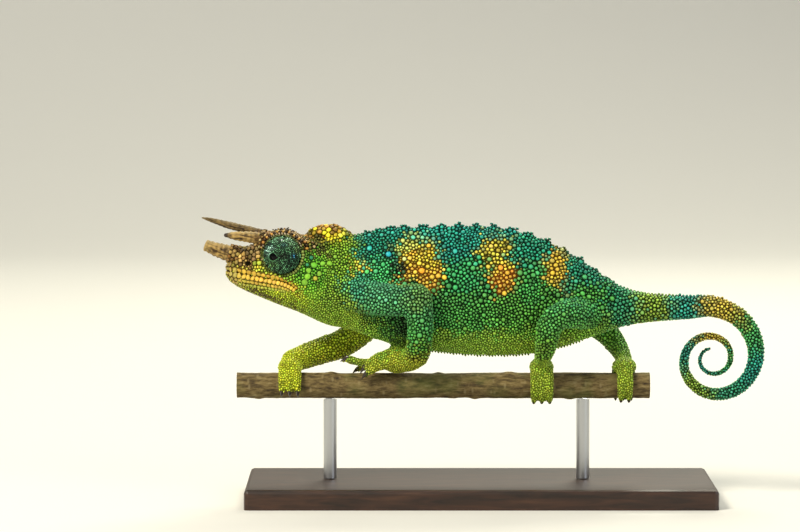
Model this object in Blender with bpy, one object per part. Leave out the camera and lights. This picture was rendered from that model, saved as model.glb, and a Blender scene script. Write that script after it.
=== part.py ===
"""A male three-horned chameleon, life size, gripping a cut length of branch on a display stand.

Sizes are in millimetres. X runs from the snout (-X) to the tail (+X), Y to the animal's right,
Z up. The origin is the middle of the stand's underside.
"""

import math

import bmesh
import bpy
import numpy as np
from mathutils import Matrix, Vector
from mathutils.bvhtree import BVHTree

MM = 0.001
GAP = 0.3  # left between solids that touch
UP = Vector((0, 0, 1))

# Stand and perch
BASE_LENGTH, BASE_WIDTH, BASE_HEIGHT, BASE_BEVEL = 140.0, 56.0, 6.0, 1.2
ROD_RADIUS = 2.0
ROD_STATIONS = {"stand_rod_front": -45.0, "stand_rod_rear": 31.0}
PERCH_RADIUS = 4.2
PERCH_HEIGHT = 34.2  # of its axis above the floor
PERCH_ENDS = (-73.0, 51.0)

# Head and trunk: station X, belly Z, widest Z, back Z, half width, squareness above and below
AXIAL = (
    (-76.4, 67.7, 69.0, 70.2, 1.1, 2.0, 2.0),
    (-75.4, 65.8, 68.8, 71.6, 3.0, 2.3, 2.0),
    (-73.0, 64.0, 68.5, 73.6, 4.6, 2.6, 2.0),
    (-69.5, 62.3, 68.2, 75.6, 5.9, 3.0, 2.0),
    (-65.5, 60.6, 67.8, 78.8, 7.0, 3.6, 2.0),
    (-61.5, 58.9, 67.4, 80.2, 7.9, 4.2, 2.0),
    (-57.0, 57.2, 67.0, 80.4, 8.8, 4.0, 2.0),
    (-53.0, 55.6, 66.6, 79.6, 9.5, 3.0, 2.0),
    (-49.0, 53.6, 66.2, 79.2, 9.6, 2.2, 2.0),
    (-44.5, 51.9, 65.6, 79.2, 8.8, 1.9, 1.9),
    (-40.5, 51.3, 64.6, 79.4, 8.2, 1.8, 1.8),
    (-36.0, 49.8, 63.4, 80.0, 8.3, 1.7, 1.7),
    (-31.0, 47.8, 62.0, 81.2, 8.8, 1.6, 1.6),
    (-25.0, 46.2, 61.0, 81.8, 9.4, 1.6, 1.6),
    (-17.0, 44.7, 60.0, 81.8, 9.9, 1.6, 1.6),
    (-7.0, 43.6, 59.5, 82.2, 10.2, 1.6, 1.6),
    (4.0, 43.0, 59.2, 81.9, 10.2, 1.6, 1.6),
    (14.0, 43.4, 59.0, 79.9, 9.6, 1.6, 1.6),
    (23.0, 45.2, 58.6, 76.2, 8.5, 1.7, 1.7),
    (31.0, 47.8, 58.4, 71.4, 7.3, 1.8, 1.8),
    (37.0, 50.0, 58.2, 67.2, 6.3, 1.9, 1.9),
    (43.0, 52.0, 58.0, 63.8, 5.1, 2.0, 2.0),
    (49.0, 53.1, 57.7, 62.2, 4.5, 2.0, 2.0),
    (55.0, 53.6, 57.6, 61.6, 4.0, 2.0, 2.0),
)
RING_SIDES = 22
HEAD_STEP, TRUNK_STEP, HEAD_BACK = 2.2, 4.2, -38.0
# Where the axial body is parted: X where the cut meets the widest line, and its lean from upright
NECK_FRONT = (Vector((-44.8, 0, 67.2)), math.radians(25.5))
NECK_REAR = (Vector((-34.6, 0, 65.0)), math.radians(8.0))
TAIL_ROOT = (Vector((40.5, 0, 58.0)), math.radians(-6.0))
TAIL_FIRST_END = (Vector((52.5, 0, 57.6)), 0.0)

# Mouth line in the XZ plane, from ahead of the snout to the corner, then down behind the jaw
MOUTH_LINE = (
    (-82.0, 69.6),
    (-76.0, 68.9),
    (-70.0, 68.0),
    (-64.2, 67.0),
    (-60.0, 66.2),
    (-57.4, 65.3),
    (-55.4, 64.0),
    (-54.0, 62.2),
    (-52.9, 59.6),
    (-52.0, 56.0),
    (-51.2, 48.0),
)
LIP_FRONT, LIP_BACK, LIP_SCALES, LIP_RADIUS, LIP_SUNK = -74.4, -55.2, 10, 0.95, 0.5

# Eyes: the turret is a flattened ball, and the lids open forward of its middle
EYE_CENTRE = Vector((-59.1, 7.2, 74.1))
TURRET_RADII = Vector((5.9, 4.4, 5.9))
GAZE = Vector((-0.60, 0.86, -0.14)).normalized()
LID_OPENING, LID_RIM, EYEBALL_RADIUS = 1.25, 0.45, 1.7

# Horns: path points with a radius at each
NOSE_HORN = (
    (-73.5, 0.0, 73.5, 2.80),
    (-76.5, 0.0, 74.4, 2.50),
    (-79.6, 0.0, 75.4, 2.12),
    (-82.2, 0.0, 76.4, 1.78),
)
LEFT_HORN = (
    (-67.0, -4.6, 78.9, 1.80),
    (-70.0, -5.1, 79.3, 1.64),
    (-73.0, -5.4, 79.6, 1.40),
    (-76.0, -5.5, 79.8, 0.60),
)
RIGHT_HORN = (
    (-66.5, 4.6, 79.7, 1.55),
    (-70.5, 5.3, 80.9, 1.32),
    (-74.4, 5.8, 81.8, 1.18),
    (-78.0, 6.2, 82.8, 0.98),
    (-81.4, 6.4, 83.8, 0.62),
    (-83.8, 6.5, 84.4, 0.22),
)
HORN_SIDES, HORN_RINGS, HORN_RING_DEPTH = 10, 5, 0.05
BOSS_DEPTH = 5.0  # how far a horn's fleshy root reaches back into the head

# Ridges of the head, on the right side: path points with a radius at each
BROW_RADIUS, BROW_TUBE = 6.6, 0.85
BROW_SCALES, CASQUE_SCALES = 8, 10
TEMPLE_RIDGE = (
    (-52.8, 7.2, 77.8, 0.9),
    (-49.0, 6.4, 77.0, 1.0),
    (-45.0, 5.0, 77.6, 1.0),
    (-41.5, 3.0, 78.8, 0.9),
)
SNOUT_RIDGE = ((-64.8, 5.6, 77.0, 1.1), (-68.5, 4.4, 75.4, 1.1), (-71.5, 3.0, 74.4, 1.0))
CASQUE_CENTRE, CASQUE_RADII = Vector((-45.4, 0, 78.6)), Vector((7.1, 3.9, 4.1))
NOSTRIL, NOSTRIL_RADIUS = (-69.6, 71.4), 0.55
CHEEK_PLATES = (
    (-49.6, 70.4, 0.85),
    (-47.0, 70.8, 0.85),
    (-51.3, 68.9, 0.80),
    (-48.0, 67.9, 0.95),
    (-51.6, 67.2, 0.75),
    (-45.2, 70.6, 0.80),
)

# Crests of conical scales along the back, belly and tail
NECK_CREST = (-37.2, -33.6)  # first and last X
BACK_CREST = (-30.8, 38.6)
BACK_SPACING = 2.45
BELLY_CREST = (-32.0, 29.0)
BELLY_SPACING = 3.9
TAIL_CREST_SPACING, TAIL_CREST_COUNT = 3.0, 16
CREST_HIGH, CREST_LOW, CREST_WAVE = 1.3, 0.6, 4.9  # tall groups stand a vertebra apart

# Tail: straight from the root, then a spiral that closes by TAIL_CLOSING each turn
TAIL_START = ((50.0, 0.0, 57.65), (55.0, 0.1, 57.6), (63.0, 0.3, 57.7))
COIL_CENTRE, COIL_RADIUS, TAIL_CLOSING, COIL_TURNS = Vector((70.0, 0.0, 42.0)), 16.0, 2.3, 2.0
TAIL_RADII = (4.35, 3.6, 3.1, 2.7, 2.3, 1.95, 1.6, 1.3, 1.0, 0.75)
TAIL_LENGTHS, TAIL_SIDES, TAIL_RING_STEP = 6, 10, 3.0

# Limbs: path points with a radius at each, and the point where each joint is parted
LIMB_SIDES, LIMB_RING_STEP = 12, 3.1
LIMBS = {
    "left_upper_arm left_forearm": (
        (-41.0, -2.6, 62.4, 5.6),
        (-34.0, -7.8, 61.4, 5.0),
        (-26.5, -12.2, 60.8, 4.85),
        (-18.9, -13.8, 61.4, 4.6),
        (-18.0, -13.2, 54.6, 4.1),
        (-18.1, -11.2, 49.2, 3.95),
        (-18.8, -8.0, 44.1, 3.95),
        (-22.8, -4.2, 41.9, 3.6),
    ),
    "right_upper_arm right_forearm": (
        (-32.0, 3.5, 54.0, 4.6),
        (-37.0, 8.2, 49.2, 4.5),
        (-42.0, 10.6, 45.6, 4.4),
        (-46.5, 10.2, 44.2, 4.2),
        (-50.0, 8.0, 43.2, 4.0),
        (-53.4, 5.0, 42.2, 3.9),
        (-56.4, 2.2, 41.3, 3.7),
    ),
    "left_thigh left_shank": (
        (33.0, -3.0, 56.0, 4.8),
        (28.5, -8.6, 56.6, 4.6),
        (23.2, -12.6, 56.2, 4.2),
        (20.2, -13.2, 53.0, 3.9),
        (19.6, -11.6, 48.4, 3.5),
        (19.0, -7.8, 44.4, 2.9),
        (18.6, -3.6, 42.0, 2.6),
    ),
    "right_thigh right_shank": (
        (33.5, 3.0, 55.0, 4.8),
        (34.0, 8.6, 53.8, 4.5),
        (36.0, 12.6, 51.4, 4.1),
        (39.2, 12.6, 48.6, 3.7),
        (41.6, 9.8, 45.6, 3.2),
        (43.0, 6.4, 43.2, 2.8),
        (43.5, 3.2, 41.8, 2.6),
    ),
}
JOINT_POINT = 3  # the elbow or knee
# Feet: X on the perch, then toes and how far round the perch they reach, on its left and right
FEET = {
    "right_hand": (-57.0, (3, 112), (2, 120), "right_upper_arm right_forearm"),
    "left_foot": (18.5, (3, 148), (2, 140), "left_thigh left_shank"),
    "right_foot": (43.4, (2, 140), (3, 140), "right_thigh right_shank"),
}
BUNDLES = {
    "right_hand": ("inner_fingers", "outer_fingers"),
    "left_foot": ("outer_toes", "inner_toes"),
    "right_foot": ("inner_toes", "outer_toes"),
}
TOE_RADIUS, TOE_SPACING, TOE_SIDES = 1.45, 2.35, 7
TOE_START, CLAW_REACH = math.radians(12), math.radians(14)
CLAW_LENGTH, CLAW_RADIUS = 1.7, 0.48
PALM_RADII = Vector((3.9, 4.8, 3.2))
PALM_HALF_ANGLE = math.radians(38)
# The left hand lies open along the perch: its fingers' paths, from the palm forward
LEFT_PALM, LEFT_PALM_RADII = Vector((-25.0, -2.6, 42.2)), Vector((5.8, 4.7, 4.2))
LEFT_OUTER_FINGERS = (
    ((-26.0, -4.6, 44.0), (-29.6, -5.2, 43.7), (-32.2, -5.5, 42.3), (-34.2, -5.5, 40.6)),
    ((-26.0, -5.3, 41.2), (-29.0, -6.0, 40.9), (-31.6, -6.3, 39.9), (-33.6, -6.2, 38.7)),
)
LEFT_INNER_FINGERS = (
    ((-26.5, -0.6, 41.6), (-31.0, -0.3, 41.0), (-35.5, 0.1, 41.0), (-39.2, 0.3, 42.4)),
    ((-26.5, 1.4, 41.0), (-31.5, 2.1, 40.7), (-36.0, 2.7, 40.9), (-39.8, 2.9, 41.6)),
    ((-26.0, 3.2, 40.2), (-30.0, 4.2, 40.0), (-33.5, 5.0, 39.6), (-36.2, 5.4, 38.8)),
)

COLOURS = {
    "green skin": ((0.10, 0.36, 0.09), 0.55, 0.0),
    "blue-green skin": ((0.03, 0.33, 0.22), 0.55, 0.0),
    "yellow-brown skin": ((0.48, 0.36, 0.08), 0.55, 0.0),
    "turret skin": ((0.05, 0.20, 0.13), 0.50, 0.0),
    "eyeball": ((0.01, 0.01, 0.012), 0.08, 0.0),
    "horn": ((0.40, 0.27, 0.14), 0.60, 0.0),
    "bark": ((0.20, 0.15, 0.10), 0.90, 0.0),
    "stand wood": ((0.09, 0.045, 0.02), 0.40, 0.0),
    "stand steel": ((0.60, 0.60, 0.60), 0.25, 1.0),
}


# Helpers that make, join and cut closed meshes
def material(name):
    found = bpy.data.materials.get(name)
    if found:
        return found
    colour, roughness, metallic = COLOURS[name]
    made = bpy.data.materials.new(name)
    made.use_nodes = True
    shader = made.node_tree.nodes["Principled BSDF"]
    shader.inputs["Base Color"].default_value = (*colour, 1.0)
    shader.inputs["Roughness"].default_value = roughness
    shader.inputs["Metallic"].default_value = metallic
    return made


def solid(name, mesh_builder, finish="green skin"):
    """A new object from a bmesh in millimetres, with its normals facing out."""
    bmesh.ops.recalc_face_normals(mesh_builder, faces=mesh_builder.faces)
    bmesh.ops.scale(mesh_builder, vec=(MM, MM, MM), verts=mesh_builder.verts)
    mesh = bpy.data.meshes.new(name)
    mesh_builder.to_mesh(mesh)
    mesh_builder.free()
    mesh.materials.append(material(finish))
    made = bpy.data.objects.new(name, mesh)
    bpy.context.scene.collection.objects.link(made)
    mesh.shade_smooth()
    mesh.set_sharp_from_angle(angle=math.radians(50))
    return made


def loft(rings):
    """A closed bmesh through rings of points, each ring capped by a fan at the ends."""
    build = bmesh.new()
    made = [[build.verts.new(p) for p in ring] for ring in rings]
    for ring, after in zip(made, made[1:]):
        for i in range(len(ring)):
            j = (i + 1) % len(ring)
            build.faces.new((ring[i], ring[j], after[j], after[i]))
    for ring in (made[0], made[-1]):
        middle = build.verts.new(sum((v.co for v in ring), Vector()) / len(ring))
        for i in range(len(ring)):
            build.faces.new((ring[i], ring[(i + 1) % len(ring)], middle))
    return build


def ellipsoid(centre, radii, across=14, up=8, axis=UP):
    build = bmesh.new()
    bmesh.ops.create_uvsphere(build, u_segments=across, v_segments=up, radius=1.0)
    turn = UP.rotation_difference(Vector(axis)).to_matrix().to_4x4()
    place = Matrix.Translation(centre) @ turn @ Matrix.Diagonal((*radii, 1.0))
    bmesh.ops.transform(build, matrix=place, verts=build.verts)
    return build


def prism(outline, half_depth):
    """An outline in the XZ plane, drawn out along Y both ways."""
    near = [Vector((x, -half_depth, z)) for x, z in outline]
    far = [Vector((x, half_depth, z)) for x, z in outline]
    build = bmesh.new()
    made = [[build.verts.new(p) for p in ring] for ring in (near, far)]
    count = len(outline)
    for i in range(count):
        j = (i + 1) % count
        build.faces.new((made[0][i], made[0][j], made[1][j], made[1][i]))
    for ring in made:
        build.faces.new(ring)
    bmesh.ops.triangulate(build, faces=build.faces)
    return build


def apply_modifiers(obj):
    graph = bpy.context.evaluated_depsgraph_get()
    mesh = bpy.data.meshes.new_from_object(obj.evaluated_get(graph))
    obj.modifiers.clear()
    obj.data = mesh


def discard(objects):
    for obj in objects:
        bpy.data.objects.remove(obj)


def keep_largest(obj):
    """Drops loose scraps and sealed hollows, so that the node is one closed surface."""
    build = bmesh.new()
    build.from_mesh(obj.data)
    unseen, groups = set(build.verts), []
    while unseen:
        front = [unseen.pop()]
        group = list(front)
        while front:
            near = [e.other_vert(v) for v in front for e in v.link_edges]
            front = [v for v in set(near) if v in unseen]
            unseen.difference_update(front)
            group.extend(front)
        groups.append(group)
    groups.sort(key=len)
    for group in groups[:-1]:
        bmesh.ops.delete(build, geom=group, context="VERTS")
    build.to_mesh(obj.data)
    build.free()


def combine(obj, others, operation, solver="EXACT"):
    """Joins the others to obj, or cuts them from it, in one Boolean."""
    helpers = bpy.data.collections.new("pieces")
    bpy.context.scene.collection.children.link(helpers)
    for other in others:
        bpy.context.scene.collection.objects.unlink(other)
        helpers.objects.link(other)
    boolean = obj.modifiers.new("join", "BOOLEAN")
    boolean.operation = operation
    boolean.operand_type = "COLLECTION"
    boolean.collection = helpers
    boolean.solver = solver
    apply_modifiers(obj)
    discard(list(helpers.objects))
    bpy.data.collections.remove(helpers)
    keep_largest(obj)
    return obj


def fuse(obj, others, solver="EXACT"):
    return combine(obj, others, "UNION", solver)


def cut_away(obj, others, solver="EXACT"):
    return combine(obj, others, "DIFFERENCE", solver)


def copy_of(obj, name):
    made = bpy.data.objects.new(name, obj.data.copy())
    bpy.context.scene.collection.objects.link(made)
    return made


def keep_side(obj, point, normal):
    """Cuts obj by a plane and keeps the side that normal points to, closed by a flat face."""
    build = bmesh.new()
    build.from_mesh(obj.data)
    whole = build.verts[:] + build.edges[:] + build.faces[:]
    cut = bmesh.ops.bisect_plane(
        build, geom=whole, plane_co=point * MM, plane_no=normal, clear_inner=True, dist=1e-7
    )
    rim = [e for e in cut["geom_cut"] if isinstance(e, bmesh.types.BMEdge)]
    bmesh.ops.contextual_create(build, geom=rim)
    bmesh.ops.triangulate(build, faces=build.faces)
    bmesh.ops.recalc_face_normals(build, faces=build.faces)
    build.to_mesh(obj.data)
    build.free()
    return obj


# Curves through named points
ROUND_END = ((0.45, 0.88), (0.85, 0.5))  # reach beyond a tube's end, and share of its radius


def smooth_rows(table, per_span=24):
    """Rows of a table, filled in between by a Catmull-Rom curve through them."""
    rows = np.array(table, float)
    padded = np.vstack([2 * rows[0] - rows[1], rows, 2 * rows[-1] - rows[-2]])
    t = np.linspace(0, 1, per_span, endpoint=False)[:, None]
    filled = []
    for before, start, end, after in zip(padded, padded[1:], padded[2:], padded[3:]):
        rise = end - before
        fall = after - start
        filled.append(
            start
            + t * (0.5 * rise)
            + t**2 * (3 * (end - start) - rise - 0.5 * fall)
            + t**3 * (2 * (start - end) + 0.5 * rise + 0.5 * fall)
        )
    return np.vstack([*filled, rows[-1:]])


def along(rows, places):
    """Rows at these distances along the curve that the first three columns draw."""
    steps = np.linalg.norm(np.diff(rows[:, :3], axis=0), axis=1)
    run = np.concatenate([[0.0], np.cumsum(steps)])
    return np.column_stack([np.interp(places, run, column) for column in rows.T])


def length_of(rows):
    return float(np.linalg.norm(np.diff(rows[:, :3], axis=0), axis=1).sum())


def tube(rows, start, end, sides, step, rounded=False):
    """A closed tube along part of a curve, whose fourth column is its radius."""
    count = max(2, round((end - start) / step) + 1)
    places = np.linspace(start, end, count)
    middle = along(rows, places)
    if rounded:
        last = middle[-1]
        out = (last[:3] - middle[-2][:3]) / np.linalg.norm(last[:3] - middle[-2][:3])
        for reach, share in ROUND_END:
            middle = np.vstack([middle, [*(last[:3] + out * last[3] * reach), last[3] * share]])
        places = np.concatenate([places, [end] * len(ROUND_END)])
    ahead = along(rows, places + 0.05)[:, :3] - along(rows, places - 0.05)[:, :3]
    rings, side = [], None
    for row, heading in zip(middle, ahead):
        heading = Vector(heading).normalized()
        side = heading.cross(Vector((0.2, 1, 0.1)) if side is None else side.cross(heading))
        side.normalize()
        third = heading.cross(side)
        ring = []
        for i in range(sides):
            angle = 2 * math.pi * i / sides
            offset = side * math.cos(angle) + third * math.sin(angle)
            ring.append(Vector(row[:3]) + offset * row[3])
        rings.append(ring)
    return loft(rings)


def tube_through(table, sides, step):
    rows = smooth_rows(table)
    return tube(rows, 0.0, length_of(rows), sides, step)


def room_for(name, table, sides, step):
    """The tube through these points and a gap all round it, to cut from its neighbours."""
    rows = smooth_rows(table)
    rows[:, 3] += GAP
    ends = [rows[0].copy(), rows[-1].copy()]
    for end, inside in zip(ends, (rows[6], rows[-7])):
        out = end[:3] - inside[:3]
        end[:3] += out / np.linalg.norm(out) * GAP
    rows = np.vstack([ends[0], rows, ends[1]])
    return solid(name, tube(rows, 0.0, length_of(rows), sides, step))


def mirrored(table):
    return [(x, -y, *rest) for x, y, *rest in table]


# Head and trunk, whole, before they are parted
def axial_ring(x, low, middle, high, half_width, above, below, grow=0.0):
    ring = []
    for i in range(RING_SIDES):
        angle = 2 * math.pi * i / RING_SIDES
        c, s = math.cos(angle), math.sin(angle)
        power = 2 / (above if s >= 0 else below)
        reach = (high - middle if s >= 0 else middle - low) + grow
        y = math.copysign(abs(c) ** power, c) * (half_width + grow)
        z = middle + math.copysign(abs(s) ** power, s) * reach
        ring.append(Vector((x, y, z)))
    return ring


def axial_body(grow=0.0):
    rows = smooth_rows(AXIAL)
    first, last = AXIAL[0][0], AXIAL[-1][0]
    tip = [first, first + 0.45]
    head = np.arange(first + 1.3, HEAD_BACK, HEAD_STEP)
    trunk = np.arange(HEAD_BACK, last, TRUNK_STEP)
    rings = []
    for x in [*tip, *head, *trunk, last]:
        sizes = [np.interp(x, rows[:, 0], column) for column in rows.T[1:]]
        rings.append(axial_ring(x, *sizes, grow=grow))
    return loft(rings)


def leaning(cut, offset):
    """A point and a normal for a parting plane, moved along X by offset."""
    point, lean = cut
    return point + Vector((offset, 0, 0)), Vector((math.cos(lean), 0, math.sin(-lean)))


def axial_node(name, body, front, rear, finish):
    made = copy_of(body, name)
    if front:
        keep_side(made, *leaning(front, GAP / 2))
    if rear:
        point, normal = leaning(rear, -GAP / 2)
        keep_side(made, point, -normal)
    made.data.materials.clear()
    made.data.materials.append(material(finish))
    return made


def surface_of(obj):
    """A tree of the object's faces, for setting scales on its surface."""
    graph = bpy.context.evaluated_depsgraph_get()
    return BVHTree.FromObject(obj, graph)


def hit(tree, start, direction):
    """Point and normal, in millimetres, where a ray meets the surface."""
    point, normal, _, _ = tree.ray_cast(Vector(start) * MM, Vector(direction).normalized())
    return point / MM, normal


def plate(point, normal, radius, height, sides=5):
    """A rounded scale with its root sunk in the surface under it."""
    turn = normal.to_track_quat("Z", "Y").to_matrix()
    levels = ((-0.9 * height - 0.35, 0.92), (0.35 * height, 1.0), (height, 0.58))
    rings = []
    for level, share in levels:
        ring = []
        for i in range(sides):
            angle = 2 * math.pi * (i + 0.5) / sides
            across = Vector((math.cos(angle), math.sin(angle), 0)) * radius * share
            ring.append(point + turn @ (across + Vector((0, 0, level))))
        rings.append(ring)
    return loft(rings)


def spine(point, direction, radius, height, sides=4, sunk=1.0):
    """A small cone that stands on a crest, with its root sunk in the flesh."""
    turn = direction.to_track_quat("Z", "Y").to_matrix()
    rings = []
    for level, share in ((-sunk, 1.15), (height, 0.2)):
        ring = []
        for i in range(sides):
            angle = 2 * math.pi * i / sides
            across = Vector((math.cos(angle), math.sin(angle), 0)) * radius * share
            ring.append(point + turn @ (across + Vector((0, 0, level))))
        rings.append(ring)
    return loft(rings)


# Jaws
def offset_line(line, distance):
    """The line moved sideways; a positive distance is to the left of its run."""
    points = np.array(line, float)
    run = np.gradient(points, axis=0)
    run /= np.linalg.norm(run, axis=1)[:, None]
    return points + distance * np.column_stack([-run[:, 1], run[:, 0]])


def jaw_volume(name, offset):
    """What lies below the mouth line and ahead of the jaw's hinge."""
    line = [tuple(p) for p in offset_line(MOUTH_LINE, offset)]
    outline = [*line, (line[0][0], line[-1][1])]
    return solid(name, prism(outline, 16.0))


def lip(name, tree, side, above):
    """The raised row of scales along one side of a lip, as one scalloped ridge."""
    line = smooth_rows([(x, 0, z) for x, z in MOUTH_LINE])
    beside = offset_line(line[:, [0, 2]], (1.0 if above else -1.0) * (LIP_RADIUS + 0.3))
    rows = []
    for i in range(2 * LIP_SCALES + 1):
        x = LIP_FRONT + (LIP_BACK - LIP_FRONT) * i / (2 * LIP_SCALES)
        z = float(np.interp(x, beside[:, 0], beside[:, 1]))
        radius = LIP_RADIUS * (1.08 if i % 2 else 0.84)
        point, normal = hit(tree, (x, side * 20, z), (0, -side, 0))
        rows.append((*(point - normal * LIP_SUNK), radius))
    rows = np.array(rows)
    step = length_of(rows) / (2 * LIP_SCALES)
    return solid(name, tube(rows, 0.0, length_of(rows), 6, step))


# Head
def horn(name, table):
    """A horn with shallow growth rings."""
    rows = smooth_rows(table)
    end = length_of(rows)
    step = end / (HORN_RINGS * 2)
    places = np.arange(HORN_RINGS * 2 + 1)
    ringed = along(rows, np.linspace(0, end, len(places)))
    ringed[:, 3] *= 1 - HORN_RING_DEPTH * (places % 2)
    return solid(name, tube(ringed, 0.0, length_of(ringed), HORN_SIDES, step), "horn")


def horn_boss(name, table):
    """The scaly root behind a horn, which ends a gap short of it."""
    root, ahead = Vector(table[0][:3]), Vector(table[1][:3])
    heading = (ahead - root).normalized()
    radius = table[0][3]
    front = root - heading * GAP
    rows = np.array(
        [
            (*(front - heading * BOSS_DEPTH), radius * 1.2),
            (*(front - heading * BOSS_DEPTH * 0.45), radius * 1.28),
            (*(front - heading * 0.7), radius * 1.16),
            (*front, radius * 0.95),
        ]
    )
    return solid(name, tube(rows, 0.0, length_of(rows), HORN_SIDES, BOSS_DEPTH / 3))


def brow_path(side):
    rows = []
    for degrees in (12, 35, 60, 90, 120, 145, 165):
        angle = math.radians(degrees)
        x = EYE_CENTRE.x + BROW_RADIUS * math.cos(angle)
        z = EYE_CENTRE.z + BROW_RADIUS * math.sin(angle)
        rows.append((x, side * (7.6 - 1.5 * math.sin(angle)), z, BROW_TUBE))
    return rows


def head_ridges():
    made = []
    for side, label in ((-1, "left"), (1, "right")):
        for ridge, path in (("temple", TEMPLE_RIDGE), ("snout", SNOUT_RIDGE)):
            table = mirrored(path) if side < 0 else path
            made.append(solid(f"{label}_{ridge}", tube_through(table, 6, 2.8)))
        made.append(solid(f"{label}_brow", tube_through(brow_path(side), 6, 2.4)))
        rows = smooth_rows(brow_path(side))
        for i in range(BROW_SCALES):
            place = length_of(rows) * (i + 0.8) / (BROW_SCALES + 0.6)
            x, y, z, radius = along(rows, [place])[0]
            out = Vector((x - EYE_CENTRE.x, 0.6 * side, z - EYE_CENTRE.z)).normalized()
            point = Vector((x, y, z)) + out * radius * 0.7
            made.append(solid(f"{label}_brow_{i}", spine(point, out, 0.62, 0.95, sunk=0.7)))
    return made


def casque_plates(tree):
    """The knob on the back of the head carries large rounded plates."""
    made, turn = [], math.pi * (3 - math.sqrt(5))
    for i in range(CASQUE_SCALES):
        lift = 1 - 0.78 * (i + 0.5) / CASQUE_SCALES
        spread = math.sqrt(1 - lift * lift)
        out = Vector((spread * math.cos(turn * i), spread * math.sin(turn * i), lift))
        start = CASQUE_CENTRE + Vector(a * b for a, b in zip(out, CASQUE_RADII)) * 2.2
        point, normal = hit(tree, start, CASQUE_CENTRE - start)
        size = 0.95 - 0.2 * (i % 3) / 2
        made.append(solid(f"casque_{i}", plate(point, normal, size, 0.35)))
    return made


def cheek_plates(tree):
    """The large flat scales between the eye and the neck."""
    made = []
    for side in (-1, 1):
        for i, (x, z, size) in enumerate(CHEEK_PLATES):
            point, normal = hit(tree, (x, side * 20, z), (0, -side, 0))
            made.append(solid(f"cheek_{side}_{i}", plate(point, normal, size, 0.28)))
    return made


def eye_ball(grow=0.0, side=1):
    centre = Vector((EYE_CENTRE.x, side * EYE_CENTRE.y, EYE_CENTRE.z))
    radii = TURRET_RADII + Vector((grow, grow, grow))
    return ellipsoid(centre, (radii.x, radii.z, radii.y), across=16, up=9, axis=(0, side, 0))


def make_head(body):
    head = axial_node("head", body, None, NECK_FRONT, "yellow-brown skin")
    tree = surface_of(head)
    additions = [solid("casque", ellipsoid(CASQUE_CENTRE, CASQUE_RADII))]
    plates_tree = surface_of(additions[0])
    additions += casque_plates(plates_tree)
    additions += head_ridges()
    for name, table in (("nose", NOSE_HORN), ("left", LEFT_HORN), ("right", RIGHT_HORN)):
        additions.append(horn_boss(f"{name}_boss", table))
    additions += [lip(f"upper_{side}", tree, side, True) for side in (-1, 1)]
    fuse(head, additions, "MANIFOLD")
    point, normal = leaning(NECK_FRONT, -GAP / 2)
    keep_side(head, point, -normal)
    cuts = [jaw_volume("below_mouth", GAP / 2)]
    for name, table in (("nose", NOSE_HORN), ("left", LEFT_HORN), ("right", RIGHT_HORN)):
        cuts.append(room_for(f"{name}_room", table, HORN_SIDES, 3.0))
    for side in (-1, 1):
        cuts.append(solid(f"socket_{side}", eye_ball(grow=GAP, side=side)))
        start = (NOSTRIL[0], side * 20, NOSTRIL[1])
        point, _ = hit(tree, start, (0, -side, 0))
        cuts.append(solid(f"nostril_{side}", ellipsoid(point, [NOSTRIL_RADIUS] * 3, 8, 6)))
    for cutter in cuts:
        cut_away(head, [cutter], "MANIFOLD")
    fuse(head, cheek_plates(tree), "MANIFOLD")


def make_jaw(body):
    jaw = axial_node("lower_jaw", body, None, NECK_FRONT, "yellow-brown skin")
    tree = surface_of(jaw)
    fuse(jaw, [lip(f"lower_{side}", tree, side, False) for side in (-1, 1)])
    combine(jaw, [jaw_volume("jaw_bounds", -GAP / 2)], "INTERSECT")


# Eyes
def make_eye(label, side):
    """The turret of fused lids, and the ball that shows through their small opening."""
    turret = solid(f"{label}_eye_turret", eye_ball(side=side), "turret skin")
    centre = Vector((EYE_CENTRE.x, side * EYE_CENTRE.y, EYE_CENTRE.z))
    gaze = Vector((GAZE.x, side * GAZE.y, GAZE.z))
    point, _ = hit(surface_of(turret), centre + gaze * 20, -gaze)
    rim = np.array(
        [
            (*(point - gaze * 1.6), LID_OPENING + LID_RIM * 3.2),
            (*(point - gaze * 0.2), LID_OPENING + LID_RIM * 1.9),
            (*(point + gaze * 0.55), LID_OPENING + LID_RIM),
        ]
    )
    fuse(turret, [solid("lid_rim", tube(rim, 0.0, length_of(rim), 12, 1.1))], "MANIFOLD")
    hole = np.array([(*(point - gaze * 1.2), LID_OPENING), (*(point + gaze * 2.0), LID_OPENING)])
    ball_centre = point - gaze * (EYEBALL_RADIUS + 0.15)
    socket = ellipsoid(ball_centre, [EYEBALL_RADIUS + GAP] * 3, 10, 6)
    cut_away(turret, [solid("lid_hole", tube(hole, 0.0, length_of(hole), 12, 3.2))], "MANIFOLD")
    cut_away(turret, [solid("ball_socket", socket)], "MANIFOLD")
    solid(f"{label}_eyeball", ellipsoid(ball_centre, [EYEBALL_RADIUS] * 3, 10, 7), "eyeball")


# Trunk and tail
def crest_height(x):
    """Tall groups of scales stand over the vertebrae, with low ones between."""
    wave = 0.5 + 0.5 * math.cos(2 * math.pi * x / CREST_WAVE)
    return CREST_LOW + (CREST_HIGH - CREST_LOW) * wave


def back_crest(obj, ends):
    tree, spines = surface_of(obj), []
    lean = Vector((0.35, 0, 1)).normalized()
    for i, x in enumerate(np.arange(*ends, BACK_SPACING)):
        point, _ = hit(tree, (x, 0, 120), (0, 0, -1))
        spines.append(solid(f"back_{i}", spine(point, lean, 0.72, crest_height(x))))
    return spines


def belly_crest(obj, ends):
    tree, spines = surface_of(obj), []
    for i, x in enumerate(np.arange(*ends, BELLY_SPACING)):
        point, _ = hit(tree, (x, 0, 20), (0, 0, 1))
        spines.append(solid(f"belly_{i}", spine(point, Vector((0.3, 0, -1)), 0.6, 0.6)))
    return spines


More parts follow.
